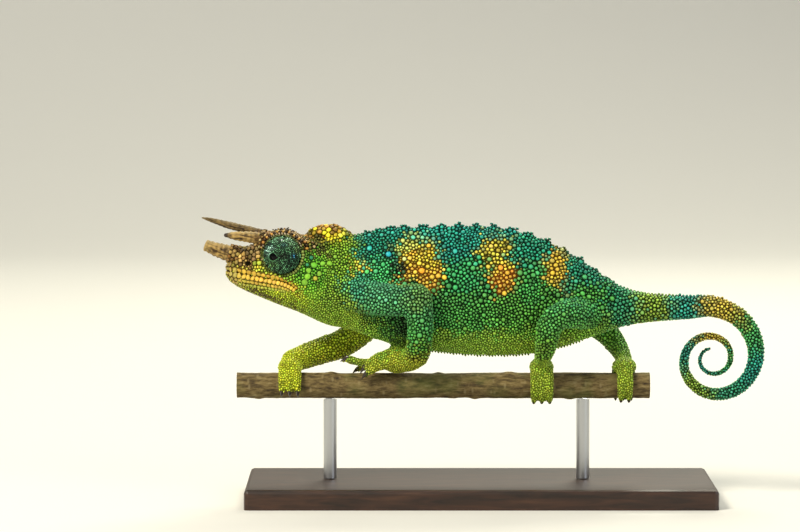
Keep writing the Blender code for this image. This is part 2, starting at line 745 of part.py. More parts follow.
def make_trunk(body):
    neck = axial_node("neck", body, NECK_FRONT, NECK_REAR, "green skin")
    fuse(neck, back_crest(neck, NECK_CREST))
    torso = axial_node("torso", body, NECK_REAR, TAIL_ROOT, "blue-green skin")
    fuse(torso, back_crest(torso, BACK_CREST) + belly_crest(torso, BELLY_CREST))
    axial_node("tail_1", body, TAIL_ROOT, TAIL_FIRST_END, "green skin")


def tail_rows():
    """The tail's centre line with its radius: a straight root, then the closing spiral."""
    spiral = []
    for i in range(int(COIL_TURNS * 12) + 1):
        turn = i / 12
        radius = COIL_RADIUS * TAIL_CLOSING**-turn
        angle = math.pi / 2 - 2 * math.pi * turn
        side = 0.6 + 1.6 * turn
        spiral.append(COIL_CENTRE + Vector((radius * math.cos(angle), side, radius * math.sin(angle))))
    line = smooth_rows([*TAIL_START, *[tuple(p) for p in spiral]])
    run = np.concatenate([[0.0], np.cumsum(np.linalg.norm(np.diff(line, axis=0), axis=1))])
    radius = np.interp(run / run[-1], np.linspace(0, 1, len(TAIL_RADII)), TAIL_RADII)
    return np.column_stack([line, radius])


def make_tail():
    rows = tail_rows()
    start = TAIL_FIRST_END[0].x - rows[0][0]
    cuts = np.linspace(start, length_of(rows), TAIL_LENGTHS)
    for n, (first, last) in enumerate(zip(cuts, cuts[1:]), 2):
        finish = "green skin" if n % 2 else "blue-green skin"
        step = TAIL_RING_STEP if n < TAIL_LENGTHS - 1 else TAIL_RING_STEP * 0.6
        mesh = tube(rows, first + GAP / 2, last - GAP / 2 * (n < TAIL_LENGTHS), TAIL_SIDES, step)
        length = solid(f"tail_{n}", mesh, finish)
        spines = []
        for i in range(TAIL_CREST_COUNT):
            place = start + 1.5 + i * TAIL_CREST_SPACING
            if not first + 1.0 < place < last - 1.0:
                continue
            row = along(rows, [place])[0]
            ahead = Vector(along(rows, [place + 0.1])[0][:3] - row[:3]).normalized()
            out = Vector((0, 1, 0)).cross(ahead) * -1
            fade = 1 - 0.6 * i / TAIL_CREST_COUNT
            point = Vector(row[:3]) + out * (row[3] - 0.05)
            tilt = (out + ahead * 0.35).normalized()
            spines.append(solid(f"tail_{n}_{i}", spine(point, tilt, 0.6 * fade, 0.85 * fade, sunk=0.6)))
        if spines:
            fuse(length, spines)


# Limbs
def bend_plane(table):
    """The plane that halves the bend at the elbow or knee, facing down the limb."""
    before, joint, after = (Vector(table[JOINT_POINT + n][:3]) for n in (-1, 0, 1))
    down = (joint - before).normalized() + (after - joint).normalized()
    return joint, down.normalized()


def make_limbs():
    """Upper and lower lengths of each limb, cut clear of the trunk and of each other."""
    for names, table in LIMBS.items():
        upper, lower = names.split()
        finish = "blue-green skin" if "arm" in upper else "green skin"
        joint, down = bend_plane(table)
        paths = (table[: JOINT_POINT + 1], table[JOINT_POINT:-1])
        for name, path, way in ((upper, paths[0], -down), (lower, paths[1], down)):
            rows = smooth_rows(path)
            mesh = tube(rows, 0.0, length_of(rows), LIMB_SIDES, LIMB_RING_STEP)
            length = solid(name, mesh, finish if way == -down else "green skin")
            ball = ellipsoid(joint, [table[JOINT_POINT][3]] * 3, LIMB_SIDES, 7)
            fuse(length, [solid("joint_ball", ball)])
            cut_away(length, [solid("trunk_room", axial_body(grow=GAP))])
            keep_largest(keep_side(length, joint + way * GAP / 2, way))


def foot_pieces(name, table):
    """The flesh between a wrist or ankle and the palm."""
    rows = smooth_rows(table[-3:])
    start = length_of(smooth_rows(table[-3:-1]))
    mesh = tube(rows, start, length_of(rows), LIMB_SIDES, LIMB_RING_STEP, rounded=True)
    return [solid(name, mesh)]


def clear_of_limb(foot, table):
    """Leaves the foot a gap short of its forearm or shank."""
    return cut_away(foot, [room_for("limb_room", table[JOINT_POINT:-1], LIMB_SIDES, LIMB_RING_STEP)])


def perch_room(name):
    """The perch with a gap round it, cut from all that grips it."""
    ends = np.array([(x, 0, PERCH_HEIGHT, PERCH_RADIUS + GAP) for x in (-90.0, 70.0)])
    return solid(name, tube(ends, 0.0, length_of(ends), 24, 200.0))


def claw(name, root, heading, curl):
    """A short hooked claw, from just inside the toe's tip."""
    points = [
        root - heading * 0.6,
        root + heading * CLAW_LENGTH * 0.5 + curl * 0.15,
        root + heading * CLAW_LENGTH * 0.95 + curl * 0.85,
    ]
    rows = np.array([(*p, r) for p, r in zip(points, (CLAW_RADIUS, CLAW_RADIUS * 0.85, 0.14))])
    return solid(name, tube(rows, 0.0, length_of(rows), 4, length_of(rows) / 2))


def toe(name, points, curl):
    """One toe with its claw; curl is the way the claw hooks."""
    radii = (TOE_RADIUS * 1.2, TOE_RADIUS * 1.12, TOE_RADIUS, TOE_RADIUS * 0.8)
    table = [(*p, r) for p, r in zip(points, radii)]
    rows = smooth_rows(table)
    body = solid(name, tube(rows, 0.0, length_of(rows), TOE_SIDES, 2.6, rounded=True))
    tip, behind = Vector(points[-1]), Vector(points[-2])
    heading = (tip - behind).normalized()
    return [body, claw(f"{name}_claw", tip + heading * TOE_RADIUS * 0.5, heading, curl)]


def gripping_toe(name, x, fan, side, far):
    """A toe that runs from the top of the perch round one side of it, as far as an angle."""
    reach = PERCH_RADIUS + GAP + TOE_RADIUS * 0.9
    points = []
    for share in (0.0, 0.36, 0.72, 1.0):
        angle = TOE_START + (far - CLAW_REACH - TOE_START) * share
        y = side * reach * math.sin(angle)
        z = PERCH_HEIGHT + reach * math.cos(angle)
        points.append((x + fan * (0.85 + 0.15 * share), y, z))
    tip = Vector(points[-1])
    inward = (Vector((tip.x, 0, PERCH_HEIGHT)) - tip).normalized()
    return toe(name, points, inward)


def part_foot(whole, names, planes):
    """Splits a foot into its palm and two bundles of toes by two planes."""
    for name, (point, normal) in zip(names, planes):
        keep_largest(keep_side(copy_of(whole, name), point + normal * GAP / 2, normal))
        keep_side(whole, point - normal * GAP / 2, -normal)
    keep_largest(whole)


def make_gripping_feet():
    for foot, (x, left_toes, right_toes, limb) in FEET.items():
        palm_middle = PERCH_HEIGHT + PERCH_RADIUS + PALM_RADII.z * 0.42
        whole = solid(f"{foot}_palm", ellipsoid((x, 0, palm_middle), PALM_RADII, 12, 8))
        pieces = foot_pieces(f"{foot}_stub", LIMBS[limb])
        for side, (count, degrees) in ((-1, left_toes), (1, right_toes)):
            for i in range(count):
                fan = (i - (count - 1) / 2) * TOE_SPACING
                far = math.radians(degrees)
                pieces += gripping_toe(f"{foot}_{side}_{i}", x, fan, side, far)
        fuse(whole, pieces)
        cut_away(clear_of_limb(whole, LIMBS[limb]), [perch_room("perch_room")])
        axis = Vector((x, 0, PERCH_HEIGHT))
        planes = []
        for side in (-1, 1):
            y, z = side * math.cos(PALM_HALF_ANGLE), -math.sin(PALM_HALF_ANGLE)
            planes.append((axis, Vector((0, y, z))))
        part_foot(whole, [f"{foot}_{toes}" for toes in BUNDLES[foot]], planes)


def make_open_hand():
    """The left hand lies along the top of the perch with its fingers forward."""
    whole = solid("left_hand_palm", ellipsoid(LEFT_PALM, LEFT_PALM_RADII, 12, 8))
    limb = LIMBS["left_upper_arm left_forearm"]
    pieces = foot_pieces("left_hand_stub", limb)
    for bundle in (LEFT_OUTER_FINGERS, LEFT_INNER_FINGERS):
        for i, points in enumerate(bundle):
            pieces += toe(f"left_finger_{len(bundle)}_{i}", points, Vector((0, 0, -1)))
    fuse(whole, pieces)
    cut_away(clear_of_limb(whole, limb), [perch_room("perch_room")])
    forward = (Vector((-27.2, 0, 40)), Vector((-1, 0, 0)))
    fingers = copy_of(whole, "left_hand_inner_fingers")
    keep_side(fingers, forward[0] + forward[1] * GAP / 2, forward[1])
    keep_side(whole, forward[0] - forward[1] * GAP / 2, -forward[1])
    keep_largest(whole)
    between = (Vector((-27.2, -2.7, 40)), Vector((0, -1, 0)))
    outer = copy_of(fingers, "left_hand_outer_fingers")
    keep_largest(keep_side(outer, between[0] + between[1] * GAP / 2, between[1]))
    keep_largest(keep_side(fingers, between[0] - between[1] * GAP / 2, -between[1]))


# Perch and stand
def make_perch():
    """A cut length of branch, a little uneven, with its ends sawn square."""
    rings, count, sides = [], 14, 14
    for n in range(count):
        x = PERCH_ENDS[0] + (PERCH_ENDS[1] - PERCH_ENDS[0]) * n / (count - 1)
        ring = []
        for i in range(sides):
            angle = 2 * math.pi * i / sides
            bump = 0.5 + 0.5 * math.sin(x * 0.31 + 2 * angle) * math.cos(x * 0.17 - angle)
            radius = PERCH_RADIUS - 0.22 * bump
            ring.append(Vector((x, radius * math.sin(angle), PERCH_HEIGHT + radius * math.cos(angle))))
        rings.append(ring)
    solid("perch", loft(rings), "bark")


def make_stand():
    build = bmesh.new()
    size = Matrix.Diagonal((BASE_LENGTH, BASE_WIDTH, BASE_HEIGHT, 1))
    place = Matrix.Translation((0, 0, BASE_HEIGHT / 2)) @ size
    bmesh.ops.create_cube(build, size=1.0, matrix=place)
    edges = [e for e in build.edges if max(v.co.z for v in e.verts) > BASE_HEIGHT / 2]
    bmesh.ops.bevel(
        build, geom=edges, offset=BASE_BEVEL, segments=2, profile=0.5, affect="EDGES"
    )
    solid("stand_base", build, "stand wood")
    for name, x in ROD_STATIONS.items():
        top = PERCH_HEIGHT - PERCH_RADIUS * 0.6
        ends = np.array([(x, 0, z, ROD_RADIUS) for z in (BASE_HEIGHT + GAP, top)])
        rod = solid(name, tube(ends, 0.0, length_of(ends), 16, 100.0), "stand steel")
        cut_away(rod, [perch_room("perch_room")])


def main():
    for obj in list(bpy.data.objects):
        bpy.data.objects.remove(obj)
    body = solid("axial", axial_body())
    make_head(body)
    make_jaw(body)
    make_trunk(body)
    discard([body])
    make_tail()
    for label, side in (("left", -1), ("right", 1)):
        make_eye(label, side)
    horn("nose_horn", NOSE_HORN)
    horn("left_brow_horn", LEFT_HORN)
    horn("right_brow_horn", RIGHT_HORN)
    make_limbs()
    make_gripping_feet()
    make_open_hand()
    make_perch()
    make_stand()


main()
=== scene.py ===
import math

import bpy
import numpy as np
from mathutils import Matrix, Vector, noise
from mathutils.bvhtree import BVHTree
from mathutils.kdtree import KDTree


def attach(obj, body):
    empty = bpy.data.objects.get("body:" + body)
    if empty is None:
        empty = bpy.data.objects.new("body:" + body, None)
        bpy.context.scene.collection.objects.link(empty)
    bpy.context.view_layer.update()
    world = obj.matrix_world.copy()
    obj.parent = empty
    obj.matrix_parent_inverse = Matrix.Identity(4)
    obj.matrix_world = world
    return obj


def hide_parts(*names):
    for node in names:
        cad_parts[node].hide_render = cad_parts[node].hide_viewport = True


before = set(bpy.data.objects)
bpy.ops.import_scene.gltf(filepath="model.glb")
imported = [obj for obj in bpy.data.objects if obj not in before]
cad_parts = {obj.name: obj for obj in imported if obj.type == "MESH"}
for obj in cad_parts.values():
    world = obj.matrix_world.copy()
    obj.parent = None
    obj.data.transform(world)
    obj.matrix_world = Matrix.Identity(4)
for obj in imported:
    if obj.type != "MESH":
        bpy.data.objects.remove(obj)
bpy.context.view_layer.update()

# Camera, floor and light.
# A long lens stands almost level with the animal's flank. The floor and the wall behind are one
# pale sweep of painted board, and one large soft lamp from the upper left does most of the work.
MM = 0.001
CAMERA_DISTANCE, CAMERA_LIFT = 1.2, math.radians(4.0)
LENS_MM, SENSOR_MM = 180.0, 36.0
CAMERA_AIM = Vector((-24.0, 0.0, 70.2)) * MM
SWEEP_HALF, SWEEP_BACK, SWEEP_CURVE, SWEEP_TOP = 2.6, 1.1, 0.6, 2.4
LAMPS = (
    # name, place in metres, width, watts, colour
    ("key", (-0.70, -0.75, 1.05), 0.45, 19.0, "fff6e4"),
    ("fill", (0.95, -0.80, 0.45), 0.80, 3.5, "eef5ff"),
    ("rim", (0.25, 0.80, 0.85), 0.50, 8.0, "fffbe8"),
)


def linear(colour):
    """Linear values of an sRGB hex colour."""
    parts = np.array([int(colour[i : i + 2], 16) for i in (0, 2, 4)]) / 255
    return np.where(parts <= 0.04045, parts / 12.92, ((parts + 0.055) / 1.055) ** 2.4)


def finish(name, colour, roughness, **values):
    """A new material with its shader's own values set, its node tree and its shader."""
    made = bpy.data.materials.new(name)
    made.use_nodes = True
    shader = made.node_tree.nodes["Principled BSDF"]
    shader.inputs["Base Color"].default_value = (*linear(colour), 1.0)
    shader.inputs["Roughness"].default_value = roughness
    for socket, value in values.items():
        shader.inputs[socket.replace("_", " ")].default_value = value
    return made, made.node_tree, shader


def mesh_piece(name, points, faces, material):
    """A smooth-shaded piece from points in millimetres and faces of one size."""
    faces = np.asarray(faces, np.int32)
    mesh = bpy.data.meshes.new(name)
    mesh.vertices.add(len(points))
    mesh.vertices.foreach_set("co", (np.asarray(points, float) * MM).ravel())
    mesh.loops.add(faces.size)
    mesh.loops.foreach_set("vertex_index", faces.ravel())
    mesh.polygons.add(len(faces))
    mesh.polygons.foreach_set("loop_start", np.arange(0, faces.size, faces.shape[1]))
    mesh.update(calc_edges=True)
    mesh.shade_smooth()
    mesh.materials.append(material)
    made = bpy.data.objects.new(name, mesh)
    bpy.context.scene.collection.objects.link(made)
    return made


scene = bpy.context.scene
scene.view_settings.view_transform = "Standard"
camera = bpy.data.objects.new("camera", bpy.data.cameras.new("camera"))
scene.collection.objects.link(camera)
camera.data.lens, camera.data.sensor_width = LENS_MM, SENSOR_MM
back = Vector((0, -math.cos(CAMERA_LIFT), math.sin(CAMERA_LIFT)))
camera.location = CAMERA_AIM + back * CAMERA_DISTANCE
camera.rotation_euler = (-back).to_track_quat("-Z", "Y").to_euler()
camera.data.clip_start, camera.data.clip_end = 0.02, 20.0
scene.camera = camera

# Emulsion-painted board: dead matt, so that it gives a soft shadow and no shine
board, _, _ = finish("emulsion painted board", "e9e8e2", 0.95)
profile = [(-SWEEP_HALF, 0.0), (SWEEP_BACK, 0.0)]
for step in range(1, 13):
    turn = math.pi / 2 * step / 12
    profile.append(
        (SWEEP_BACK + SWEEP_CURVE * math.sin(turn), SWEEP_CURVE * (1 - math.cos(turn)))
    )
profile.append((SWEEP_BACK + SWEEP_CURVE, SWEEP_TOP))
sweep_points = [(x, y, z) for y, z in profile for x in (-SWEEP_HALF, SWEEP_HALF)]
sweep_faces = [(2 * i, 2 * i + 1, 2 * i + 3, 2 * i + 2) for i in range(len(profile) - 1)]
sweep = mesh_piece("studio_sweep", np.array(sweep_points) / MM, sweep_faces, board)
for name, place, size, watts, tint in LAMPS:
    lamp = bpy.data.objects.new(name, bpy.data.lights.new(name, "AREA"))
    scene.collection.objects.link(lamp)
    lamp.data.shape, lamp.data.size = "DISK", size
    lamp.data.energy, lamp.data.color = watts, linear(tint)
    lamp.location = place
    lamp.rotation_euler = (CAMERA_AIM - Vector(place)).to_track_quat("-Z", "Y").to_euler()
world = bpy.data.worlds.new("studio air")
scene.world = world
world.use_nodes = True
world.node_tree.nodes["Background"].inputs["Color"].default_value = (*linear("f4f6f2"), 1)
world.node_tree.nodes["Background"].inputs["Strength"].default_value = 0.38

# Base of the display stand.
# A slab of dark-stained beech with eased top edges, sanded fine and oiled. Its grain runs along
# the slab, and two blind holes in its top take the rods.
GRAIN_PITCH_MM = 1.6  # between the darker lines of late wood


def add(tree, kind, values=None, wires=None, stops=(), **settings):
    """Adds a node with its settings, its sockets' values, its colour stops, and its wires."""
    node = tree.nodes.new(kind)
    for name, setting in settings.items():
        setattr(node, name, setting)
    for name, value in (values or {}).items():
        node.inputs[name].default_value = value
    for name, socket in (wires or {}).items():
        tree.links.new(socket, node.inputs[name])
    while stops and len(node.color_ramp.elements) < len(stops):
        node.color_ramp.elements.new(0.5)
    for n, (place, colour) in enumerate(stops):
        node.color_ramp.elements[n].position = place
        node.color_ramp.elements[n].color = (*linear(colour), 1.0)
    return node


# Stained beech: a brown-black oil finish, a little brighter where the grain is open
beech, tree, shader = finish("stained oiled beech", "2b1a10", 0.42)
place = add(tree, "ShaderNodeTexCoord").outputs["Object"]
along_grain = add(tree, "ShaderNodeMapping", {"Scale": (0.12, 1, 1)}, {"Vector": place})
grain = add(
    tree,
    "ShaderNodeTexNoise",
    {"Scale": 1 / (GRAIN_PITCH_MM * MM), "Detail": 4.0, "Distortion": 0.6},
    {"Vector": along_grain.outputs["Vector"]},
).outputs["Fac"]
stops = ((0.30, "20130b"), (0.55, "382216"), (0.75, "4b301f"))
browns = add(tree, "ShaderNodeValToRGB", wires={"Fac": grain}, stops=stops)
tree.links.new(browns.outputs["Color"], shader.inputs["Base Color"])
bump = add(tree, "ShaderNodeBump", {"Strength": 0.25, "Distance": 0.0001}, {"Height": grain})
tree.links.new(bump.outputs["Normal"], shader.inputs["Normal"])
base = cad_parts["stand_base"]
base.data.materials.clear()
base.data.materials.append(beech)

# Rods of the display stand.
# Two lengths of drawn stainless rod, brushed round their girth, pressed into the base and
# notched at the top, where the perch lies on them.
ROD_RADIUS, ROD_FOOT, ROD_TOP, ROD_SIDES = 2.0, 6.3, 29.4, 48
ROD_STATIONS = {"stand_rod_front": -45.0, "stand_rod_rear": 31.0}
PERCH_RADIUS, PERCH_HEIGHT = 4.2, 34.2
TURNED_LINES_PER_MM = 2.5

# Brushed stainless: fine lines round its girth that spread the highlight along the rod, drawn
# coarser than real ones so that they show
steel, tree, shader = finish("brushed stainless steel", "b9bbbd", 0.28, Metallic=1.0)
place = add(tree, "ShaderNodeTexCoord").outputs["Object"]
round_rod = add(tree, "ShaderNodeMapping", {"Scale": (0.05, 0.05, 1)}, {"Vector": place})
lines = add(
    tree,
    "ShaderNodeTexNoise",
    {"Scale": TURNED_LINES_PER_MM / MM, "Detail": 2.0},
    {"Vector": round_rod.outputs["Vector"]},
).outputs["Fac"]
bump = add(tree, "ShaderNodeBump", {"Strength": 0.15, "Distance": 0.00005}, {"Height": lines})
tree.links.new(bump.outputs["Normal"], shader.inputs["Normal"])


def ring_faces(rings, sides):
    """Quads between rings of points that follow one another."""
    i = np.arange(sides)
    j = (i + 1) % sides
    band = np.stack([i, j, j + sides, i + sides], 1)
    return np.concatenate([band + sides * n for n in range(rings - 1)])


def turned(profile_rows, sides):
    """Points and quads of a shape turned about an upright axis from radius and height rows."""
    angles = np.arange(sides) * 2 * math.pi / sides
    points = [
        (radius * math.cos(a), radius * math.sin(a), height)
        for radius, height in profile_rows
        for a in angles
    ]
    return np.array(points), ring_faces(len(profile_rows), sides)


for name, station in ROD_STATIONS.items():
    rows = ((0.01, ROD_FOOT), (ROD_RADIUS, ROD_FOOT), (ROD_RADIUS, ROD_TOP), (0.01, ROD_TOP))
    points, quads = turned(rows, ROD_SIDES)
    seat = PERCH_HEIGHT - np.sqrt((PERCH_RADIUS + 0.1) ** 2 - points[:, 1] ** 2)
    top = points[:, 2] > ROD_TOP - 0.1
    points[top, 2] = seat[top]
    points[:, 0] += station
    rod = mesh_piece(name + "_turned", points, quads, steel)
    rod.data.set_sharp_from_angle(angle=math.radians(40))
    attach(rod, "root")
    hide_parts(name)

# Perch.
# A dry length of shrub stem with its bark on: grey-brown, cracked lengthwise, with a few leaf
# scars. Both ends are sawn square, and show pale wood with growth rings.
PERCH_ENDS = (-73.0, 51.0)
PERCH_RINGS, PERCH_SIDES = 260, 90
CRACKS_PER_MM, PORES_PER_MM, ALGAE_PATCHES_PER_MM = 0.9, 0.33, 0.09
GROWTH_RING_MM = 1.0472
WAVE_TURN = 2 * math.pi / 20  # a wave texture of scale 1 repeats at this distance
SCAR_LENGTH, SCAR_HEIGHT = 1.3, 0.42
NODE_SCARS = (
    # X of each scar, and how far round the stem it sits
    (-66.5, 4.2),
    (-62.0, 0.4),
    (-44.5, 1.5),
    (-31.0, 2.6),
    (-12.4, 1.7),
    (-8.0, 5.4),
    (-1.5, 4.6),
    (9.0, 1.3),
    (27.0, 4.9),
    (36.0, 3.6),
)


def bark_depth(x, angle):
    """How far the bark lies below the stem's full radius, in millimetres."""
    y, z = math.cos(angle), math.sin(angle)
    cracks = noise.noise(Vector((x * 0.16, y * 3.4, z * 3.4)))
    fine = noise.noise(Vector((x * 0.6 + 40, y * 9.0, z * 9.0)))
    swell = noise.noise(Vector((x * 0.05, y * 0.8, z * 0.8 + 9)))
    depth = 0.34 + 0.26 * swell + 0.22 * abs(cracks) + 0.08 * fine
    for station, turn in NODE_SCARS:
        around = max(math.cos(angle - turn), 0.0) ** 3
        depth -= SCAR_HEIGHT * math.exp(-(((x - station) / SCAR_LENGTH) ** 2)) * around
    return max(depth, 0.02)


points = []
for n in range(PERCH_RINGS):
    x = PERCH_ENDS[0] + (PERCH_ENDS[1] - PERCH_ENDS[0]) * n / (PERCH_RINGS - 1)
    for i in range(PERCH_SIDES):
        angle = 2 * math.pi * i / PERCH_SIDES
        radius = PERCH_RADIUS - bark_depth(x, angle)
        points.append((x, radius * math.cos(angle), PERCH_HEIGHT + radius * math.sin(angle)))
points = np.array(points)
quads = ring_faces(PERCH_RINGS, PERCH_SIDES)[:, ::-1]

# Dry bark: rough, tan on its ridges and dark brown in its cracks, with pale corky pores and a
# little green algae
bark, tree, shader = finish("dry shrub bark", "6a5430", 0.9)
place = add(tree, "ShaderNodeTexCoord").outputs["Object"]
along = add(tree, "ShaderNodeMapping", {"Scale": (0.3, 1, 1)}, {"Vector": place})
across = add(tree, "ShaderNodeMapping", {"Scale": (1.5, 0.7, 0.7)}, {"Vector": place})
crack = add(
    tree,
    "ShaderNodeTexNoise",
    {"Scale": CRACKS_PER_MM / MM, "Detail": 6.0, "Roughness": 0.65},
    {"Vector": along.outputs["Vector"]},
).outputs["Fac"]
stops = ((0.30, "2a1e0e"), (0.45, "5a4a28"), (0.58, "7c6a40"), (0.78, "9c9068"))
tans = add(tree, "ShaderNodeValToRGB", wires={"Fac": crack}, stops=stops)
pores = add(
    tree,
    "ShaderNodeTexVoronoi",
    {"Scale": PORES_PER_MM / MM, "Randomness": 1.0},
    {"Vector": across.outputs["Vector"]},
).outputs["Distance"]
pore = add(
    tree,
    "ShaderNodeMapRange",
    {"From Min": 0.10, "From Max": 0.26, "To Min": 0.42, "To Max": 0.0},
    {"Value": pores},
).outputs["Result"]
corky = add(
    tree,
    "ShaderNodeMix",
    {"B": (*linear("9c8c62"), 1.0)},
    {"Factor": pore, "A": tans.outputs["Color"]},
    data_type="RGBA",
)
patch = add(
    tree,
    "ShaderNodeTexNoise",
    {"Scale": ALGAE_PATCHES_PER_MM / MM, "Detail": 2.0},
    {"Vector": place},
).outputs["Fac"]
share = add(
    tree,
    "ShaderNodeMapRange",
    {"From Min": 0.50, "From Max": 0.72, "To Min": 0.0, "To Max": 0.5},
    {"Value": patch},
).outputs["Result"]
mixed = add(
    tree,
    "ShaderNodeMix",
    {"B": (*linear("5d6a2c"), 1.0)},
    {"Factor": share, "A": corky.outputs["Result"]},
    data_type="RGBA",
)
tree.links.new(mixed.outputs["Result"], shader.inputs["Base Color"])
bump = add(tree, "ShaderNodeBump", {"Strength": 0.7, "Distance": 0.0003}, {"Height": crack})
tree.links.new(bump.outputs["Normal"], shader.inputs["Normal"])
perch = mesh_piece("perch_stem", points, quads, bark)
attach(perch, "root")
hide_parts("perch")

# Sawn stem wood: matt and pale, with rings about a millimetre apart round its pith
sawn, tree, shader = finish("sawn stem wood", "c2a878", 0.85)
place = add(tree, "ShaderNodeTexCoord").outputs["Object"]
pith = (0, 0, -PERCH_HEIGHT * MM)
from_pith = add(tree, "ShaderNodeMapping", {"Location": pith}, {"Vector": place})
rings = add(
    tree,
    "ShaderNodeTexWave",
    {
        "Scale": WAVE_TURN / (GROWTH_RING_MM * MM),
        "Distortion": 1.5,
        "Detail": 2.0,
        "Detail Scale": 2.0,
    },
    {"Vector": from_pith.outputs["Vector"]},
    wave_type="RINGS",
    rings_direction="X",
).outputs["Fac"]
stops = ((0.2, "a98d5c"), (0.8, "cdb78b"))
pales = add(tree, "ShaderNodeValToRGB", wires={"Fac": rings}, stops=stops)
tree.links.new(pales.outputs["Color"], shader.inputs["Base Color"])
for label, first, way in (("front", 0, -1), ("rear", PERCH_RINGS - 1, 1)):
    rim = points[first * PERCH_SIDES : (first + 1) * PERCH_SIDES]
    middle = rim.mean(0)
    shares = (1.0, 0.9, 0.6, 0.3, 0.01)
    disc = np.concatenate([middle + (rim - middle) * share for share in shares])
    faces = ring_faces(len(shares), PERCH_SIDES)
    end = mesh_piece(f"perch_cut_{label}", disc, faces if way < 0 else faces[:, ::-1], sawn)
    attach(end, "root")

# Claws.
# One hooked claw on each toe, a cone of solid keratin that grows out of the toe's end. Those of
# the three gripping feet point round the stem, and those of the left hand lie along it.
TOE_RADIUS, TOE_SPACING, TOE_START, CLAW_REACH = 1.45, 2.35, math.radians(12), math.radians(14)
FEET = (
    # X of the foot's middle, then for each side of the stem its toes and how far round they go
    (-57.0, ((-1, 3, 112), (1, 2, 120))),
    (18.5, ((-1, 3, 148), (1, 2, 140))),
    (43.4, ((-1, 2, 140), (1, 3, 140))),
)
OPEN_FINGERS = (
    # a point behind each finger's tip, and the tip
    ((-32.2, -5.5, 42.3), (-34.2, -5.5, 40.6)),
    ((-31.6, -6.3, 39.9), (-33.6, -6.2, 38.7)),
    ((-35.5, 0.1, 41.0), (-39.2, 0.3, 42.4)),
    ((-36.0, 2.7, 40.9), (-39.8, 2.9, 41.6)),
    ((-33.5, 5.0, 39.6), (-36.2, 5.4, 38.8)),
)
TOE_STANDOFF = PERCH_RADIUS + 0.3 + TOE_RADIUS * 0.9
CLAW_LENGTH, CLAW_RADIUS, CLAW_CURL = 2.1, 0.74, 1.0
CLAW_RINGS, CLAW_SIDES = 9, 12
CLAW_ROOM, CLAW_AHEAD = 2.2, 4.5  # how far aside and ahead of a toe's tip its claw's room goes
TOE_END = 1.0  # how far past its last point a toe is still round

# Claw keratin: dense and smooth, near black, with a clear shine
claw_horn, _, _ = finish("claw keratin", "2e2418", 0.3, Coat_Weight=0.3)


def past_toe(places, tip, heading):
    """How far places about a claw lie past the end of its toe; well below nought elsewhere."""
    ahead = (places - np.array(tip)) @ np.array(heading)
    aside = np.linalg.norm(places - np.array(tip) - np.outer(ahead, heading), axis=1)
    return np.where((aside < CLAW_ROOM) & (ahead < CLAW_AHEAD), ahead - TOE_END, -9.0)


claws = []
for x, bundles in FEET:
    for side, count, degrees in bundles:
        for i in range(count):
            fan = (i - (count - 1) / 2) * TOE_SPACING
            ends = []
            for share in (0.86, 1.0):
                angle = TOE_START + (math.radians(degrees) - CLAW_REACH - TOE_START) * share
                y = side * TOE_STANDOFF * math.sin(angle)
                z = PERCH_HEIGHT + TOE_STANDOFF * math.cos(angle)
                ends.append(Vector((x + fan * (0.85 + 0.15 * share), y, z)))
            inward = (Vector((ends[1].x, 0, PERCH_HEIGHT)) - ends[1]).normalized()
            claws.append((ends[1], (ends[1] - ends[0]).normalized(), inward))
for behind, tip in OPEN_FINGERS:
    claws.append((Vector(tip), (Vector(tip) - Vector(behind)).normalized(), Vector((0, 0, -1))))
points, faces = [], []
for tip, heading, curl in claws:
    rows = []
    for share in np.linspace(0, 1, CLAW_RINGS):
        place = tip + heading * (0.2 + CLAW_LENGTH * share) + curl * (CLAW_CURL * share**2 - 0.1)
        rows.append((place, CLAW_RADIUS * (1 - share**1.6) + 0.05))
    side_way = heading.cross(curl).normalized()
    third = side_way.cross(heading).normalized()
    for place, radius in rows:
        for i in range(CLAW_SIDES):
            angle = 2 * math.pi * i / CLAW_SIDES
            offset = side_way * math.cos(angle) * 0.8 + third * math.sin(angle)
            points.append(place + offset * radius)
    first = len(points) - CLAW_SIDES * CLAW_RINGS
    faces.append(ring_faces(CLAW_RINGS, CLAW_SIDES)[:, ::-1] + first)
claw_piece = mesh_piece("claws", np.array(points), np.concatenate(faces), claw_horn)
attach(claw_piece, "root")

# Skin.
# One thin hide over the whole animal, without a seam from the snout to the tail. It lies just
# inside the scales, runs in soft folds from the limbs to the trunk, dips at the lips, at the
# nostrils and between the fused toes, and rises in a row of small mounds along the back.
CLOSE_GAP, VOXEL = 0.22, 0.5
COAT_DEPTH, THIN_SHARE = 0.28, 0.13  # how deep the hide lies, at most, and as a share where thin
RELAX_ROUNDS = 24
FIRMNESS = 0.45  # how far the finer parts give way as the hide is smoothed
MOUTH_LINE = (
    (-76.2, 68.9),
    (-70.0, 68.0),
    (-64.2, 67.0),
    (-60.0, 66.2),
    (-57.4, 65.3),
    (-55.4, 64.0),
    (-54.3, 62.7),
)
MOUTH_DEPTH, MOUTH_HALF_WIDTH = 0.55, 0.42
NOSTRIL, NOSTRIL_RADIUS, NOSTRIL_DEPTH = (-69.4, 71.3), 0.90, 1.1
EYE_Y = 7.2
EYE_CENTRE = Vector((-59.1, EYE_Y, 74.1))
CREST_MOUNDS = (
    # X of each mound along the back, and its height
    (-33.2, 0.30),
    (-30.4, 0.45),
    (-26.7, 0.90),
    (-22.6, 1.00),
    (-17.2, 1.20),
    (-11.7, 1.25),
    (-6.4, 1.25),
    (-1.1, 1.25),
    (4.2, 1.25),
    (9.5, 1.25),
    (14.8, 1.20),
    (20.1, 1.10),
    (25.2, 1.00),
    (30.0, 0.90),
    (34.6, 0.75),
    (39.0, 0.60),
)
MOUND_LENGTH, MOUND_WIDTH = 1.35, 1.15
